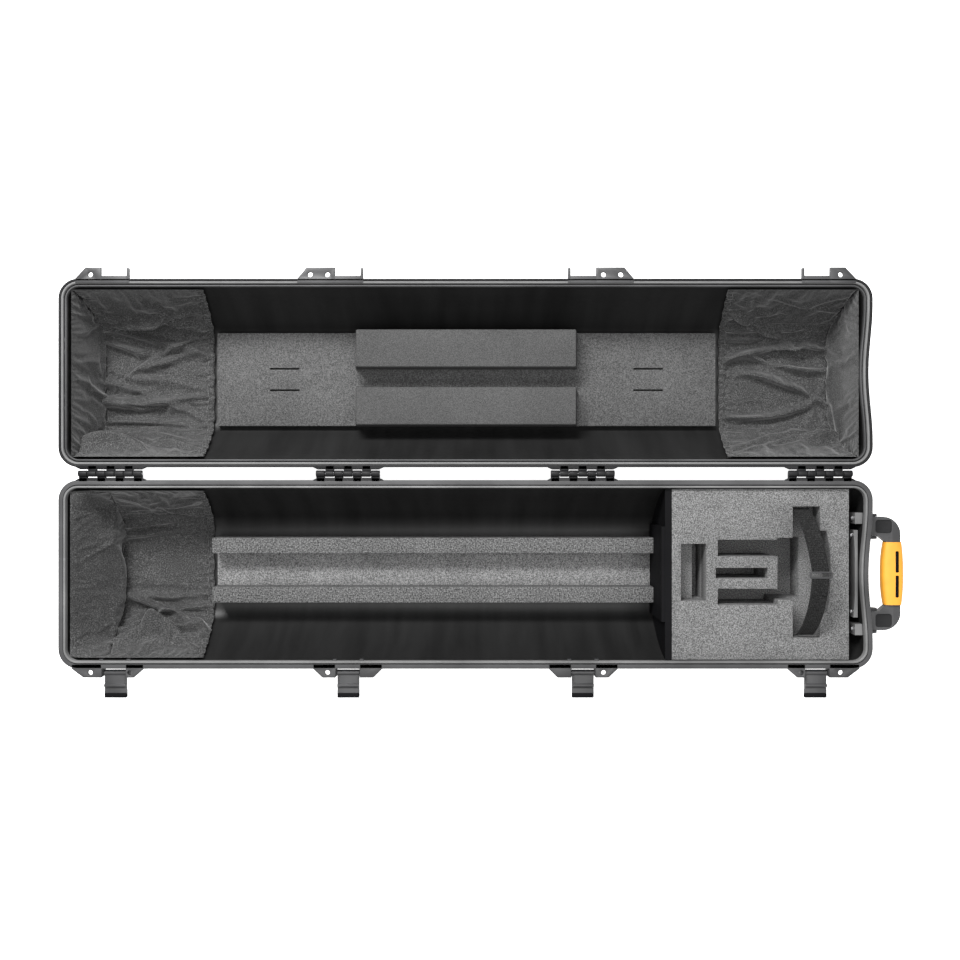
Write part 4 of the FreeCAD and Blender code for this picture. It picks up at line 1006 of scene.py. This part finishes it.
def webbing(name, path, width, thick, body, slot_name, lean):
    """A woven band along a path in the YZ plane, its selvedges thicker, leaning along X."""
    path = np.array(path)
    normal = upward(path)
    lines = 15
    points = []
    for i, (y, z) in enumerate(path):
        middle = lean[0] + (lean[1] - lean[0]) * i / (len(path) - 1)
        ring = []
        for k in range(lines):
            u = k / (lines - 1) * 2 - 1
            swell = 0.35 if abs(u) > 0.8 else 0.0
            fuzz = 0.12 * math.sin(i * 2.4 + k * 1.7)
            ring.append((u * width / 2, thick / 2 + swell + fuzz))
        ring += [(x, -h * 0.9) for x, h in ring[::-1]]
        for x, h in ring:
            y2, z2 = (y, z) + normal[i] * h
            points.append((middle + x, y2, z2))
    return make(name, points, tube_faces(len(path), 2 * lines), body, slot_name, sharp=60)


def strap_arch(hand, start, stop, steps, radius=121, peak=194):
    """Points on the strap's arch between two distances from its middle."""
    reach = np.linspace(start, stop, steps)
    return [(STRAP_Y + hand * y, peak - radius + math.sqrt(radius ** 2 - y ** 2)) for y in reach]


def strap():
    foot = math.sqrt(121 ** 2 - (127 - 73) ** 2)
    for node, hand, lean in (("strap_rear", 1, (STRAP_X, 576)),
                             ("strap_front", -1, (STRAP_X, 583))):
        main = webbing(node + "_web", strap_arch(hand, 3, foot, 80), 28, 2.0, "base",
                       "strap_webbing", lean)
        lap = webbing(node + "_lap", strap_arch(hand, 3, 34, 26, 123, 196), 27, 1.6, "base",
                      "strap_webbing", (STRAP_X, STRAP_X + (lean[1] - STRAP_X) * 0.3))
        joined([main, lap])
        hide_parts(node)
    outer, inner = (rounded((STRAP_X - x, STRAP_Y - y), (STRAP_X + x, STRAP_Y + y), radius)
                    for x, y, radius in ((19, 6, 3), (16, 3, 1.5)))
    low, high = span("strap_ring")[0][2], span("strap_ring")[1][2]
    ring = prism("strap_ring_frame", outer, "z", low, high, "base", "fitting_plastic")
    carve(ring, [prism("window", inner, "z", low - 2, high + 2, "base", "fitting_plastic")])
    bevelled(ring, 0.8, 3)
    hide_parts("strap_ring")


strap()


# ---------------------------------------------------------------- latches and end handle
def latch(index, x):
    """An over-centre latch arm, held open: knuckle, ribbed arm, thick dark lip and claw."""
    y0, z0 = -341, 131
    profile = [(-43, -4), (-31, -4), (-28, -2.5), (0, -2.5), (0, 2.5), (-18.4, 2.5), (-19.9, 6.4),
               (-22.9, 6.4), (-25.9, 2.5), (-28, 2.5), (-31, 3), (-43, 3)]
    own = (f"latch_{index}", "latch_plastic")
    arm = prism(f"latch_arm_{index}", [(y0 + y, z0 + z) for y, z in profile], "x", x - 18.75,
                x + 18.75, *own)
    bevelled(arm, 0.8, 3)
    eye = prism("eye", circle(5, (y0, z0), 36), "x", x - 18.75, x + 18.75, *own)
    carve(eye, [prism("bore", circle(2.06, (y0, z0), 24), "x", x - 30, x + 30, *own)])
    ribs = [bevelled(block("rib", (x + s - 1.1, y0 - 27, z0 + 2), (x + s + 1.1, y0 - 5, z0 + 3.4),
                           *own), 0.4, 2) for s in (-16, 16)]
    lip = bevelled(block("lip", (x - 18.75, y0 - 43, z0 - 4), (x + 18.75, y0 - 34.5, z0 + 3.6),
                         *own, "board_plastic"), 1.2, 3)
    joined([arm, eye, lip] + ribs)
    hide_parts(f"latch_lever_{index}")


for latch_index, latch_x in enumerate(LATCH_X, start=1):
    latch(latch_index, latch_x)


def handle():
    """A moulded bow with raised edges, and a two-part soft grip over its bar."""
    middle, height = -HALF_CENTRE, HANDLE_Z
    own, soft = ("end_handle", "fitting_plastic"), ("end_handle", "grip_rubber")

    def bow(far, outside, corner, near):
        outline = [(near, middle - outside)]
        outline += arc_points((far - corner, middle - outside + corner), corner, -90, 0, 10)
        outline += arc_points((far - corner, middle + outside - corner), corner, 0, 90, 10)
        return outline + [(near, middle + outside)]

    frame_piece = prism("handle_bow", bow(749, 97.8, 30, HANDLE_X), "z", height - 7, height + 7,
                        *own)
    eyes = [prism("eye", circle(7, (HANDLE_X, height), 32), "y", middle + s - 16.65, middle + s + 16.65,
                  *own) for s in (-81.15, 81.15)]
    carve(frame_piece, eyes, "UNION")
    window = [(685, -64.5), (712, -64.5), (724, -54.5), (724, 54.5), (712, 64.5), (685, 64.5)]
    tools = [prism("window", [(x, middle + y) for x, y in window], "z", height - 12, height + 12,
                   *own)]
    tools += [prism("bore", circle(3.06, (HANDLE_X, height), 24), "y", middle + s - 20,
                    middle + s + 20, *own) for s in (-81.15, 81.15)]
    for hand in (-1, 1):
        for top in (-1, 1):
            outline = [(x, middle + hand * y) for x, y in rounded((706, 69.5), (734, 92.5), 5)]
            # the sunk pads take the near-black plastic: painted shade in the recesses
            tools.append(prism("sunk", outline, "z", height + top * 5.2,
                               height + top * 9, *own,
                               "edge_plastic"))
    carve(frame_piece, tools)
    bevelled(frame_piece, 1.1, 3)
    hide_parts("handle_frame")

    steps, around = 41, 40
    points = []
    for i in range(steps):
        y = middle - 54 + 108 * i / (steps - 1)
        taper = (abs(y - middle) / 54) ** 2.4
        swell = 12 * (1 - 0.09 * taper)
        for k in range(around):
            angle = 2 * math.pi * k / around
            cx, cz = math.cos(angle), math.sin(angle)
            reach = 18.7 - (3.2 if cx > 0 else 4.6) * taper
            x = 736.3 + reach * math.copysign(abs(cx) ** 0.62, cx)
            z = height + swell * math.copysign(abs(cz) ** 0.62, cz)
            points.append((x, y, z))
    grip = make("handle_sleeve", points, tube_faces(steps, around), *soft,
                sharp=50)
    # the slots' walls and floors take the near-black board plastic: painted shade in the slots
    slots = []
    for start, end in ((2, 39), (-41, -3)):
        for top in (-1, 1):
            slots.append(prism("slot", rounded((738.6, middle + start), (744.3, middle + end), 2),
                               "z", height + top * 8.5, height + top * 14, *soft, "board_plastic"))
    carve(grip, [block("core", (723.9, middle - 60, height - 7.1), (749.1, middle + 60,
                                                                    height + 7.1),
                       *soft)] + slots)
    smooth(grip, 50)
    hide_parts("handle_grip")


handle()

# ---------------------------------------------------------------- materials of the CAD parts
PLATES = ("handle_backing_bar", "handle_mount_blocks")
record_slots = {s["node"]: s["material_slot"] for s in frame["record"]["subparts"]}
for node_name, node in frame["nodes"].items():
    node.data.materials.clear()
    skin = "plate_plastic" if node_name.startswith(PLATES) else record_slots[node_name]
    node.data.materials.append(MATERIALS[skin])

# ---------------------------------------------------------------- floor, light and camera
floor_mesh = bpy.data.meshes.new("floor")
floor_mesh.from_pydata([(-60, -60, 0), (60, -60, 0), (60, 60, 0), (-60, 60, 0)], [],
                       [(0, 1, 2, 3)])
floor = bpy.data.objects.new("floor", floor_mesh)
floor.location.z = -0.0005
bpy.context.scene.collection.objects.link(floor)
pale = Shader("pale_floor", (0.86, 0.86, 0.86), 0.8, Emission_Strength=0.95)
pale.surface.inputs["Emission Color"].default_value = (1, 1, 1, 1)
floor_mesh.materials.append(pale.material)

world = bpy.data.worlds.new("studio")
world.use_nodes = True
world.node_tree.nodes["Background"].inputs["Color"].default_value = (1, 1, 1, 1)
world.node_tree.nodes["Background"].inputs["Strength"].default_value = 0.55
bpy.context.scene.world = world
bpy.context.scene.view_settings.view_transform = "Standard"


def soft_light(name, place, target, size, watts):
    lamp = bpy.data.lights.new(name, "AREA")
    lamp.shape = "RECTANGLE"
    lamp.size, lamp.size_y = size
    lamp.energy = watts
    light = bpy.data.objects.new(name, lamp)
    light.location = place
    light.rotation_euler = (Vector(target) - Vector(place)).to_track_quat("-Z", "Y").to_euler()
    bpy.context.scene.collection.objects.link(light)


soft_light("key", (-0.8, 1.8, 2.2), (0, 0, 0), (1.5, 0.6), 145)
soft_light("fill", (0.2, -0.3, 2.6), (0, 0, 0), (2.4, 1.6), 45)

CAMERA_RISE, CAMERA_X, CAMERA_Y, LENS = 1700, 24.7, -10.9, 37.4
camera_data = bpy.data.cameras.new("camera")
camera_data.lens = LENS
camera_data.sensor_width = 36
camera = bpy.data.objects.new("camera", camera_data)
camera.location = at(CAMERA_X, CAMERA_Y, RIM + CAMERA_RISE)
bpy.context.scene.collection.objects.link(camera)
bpy.context.scene.camera = camera
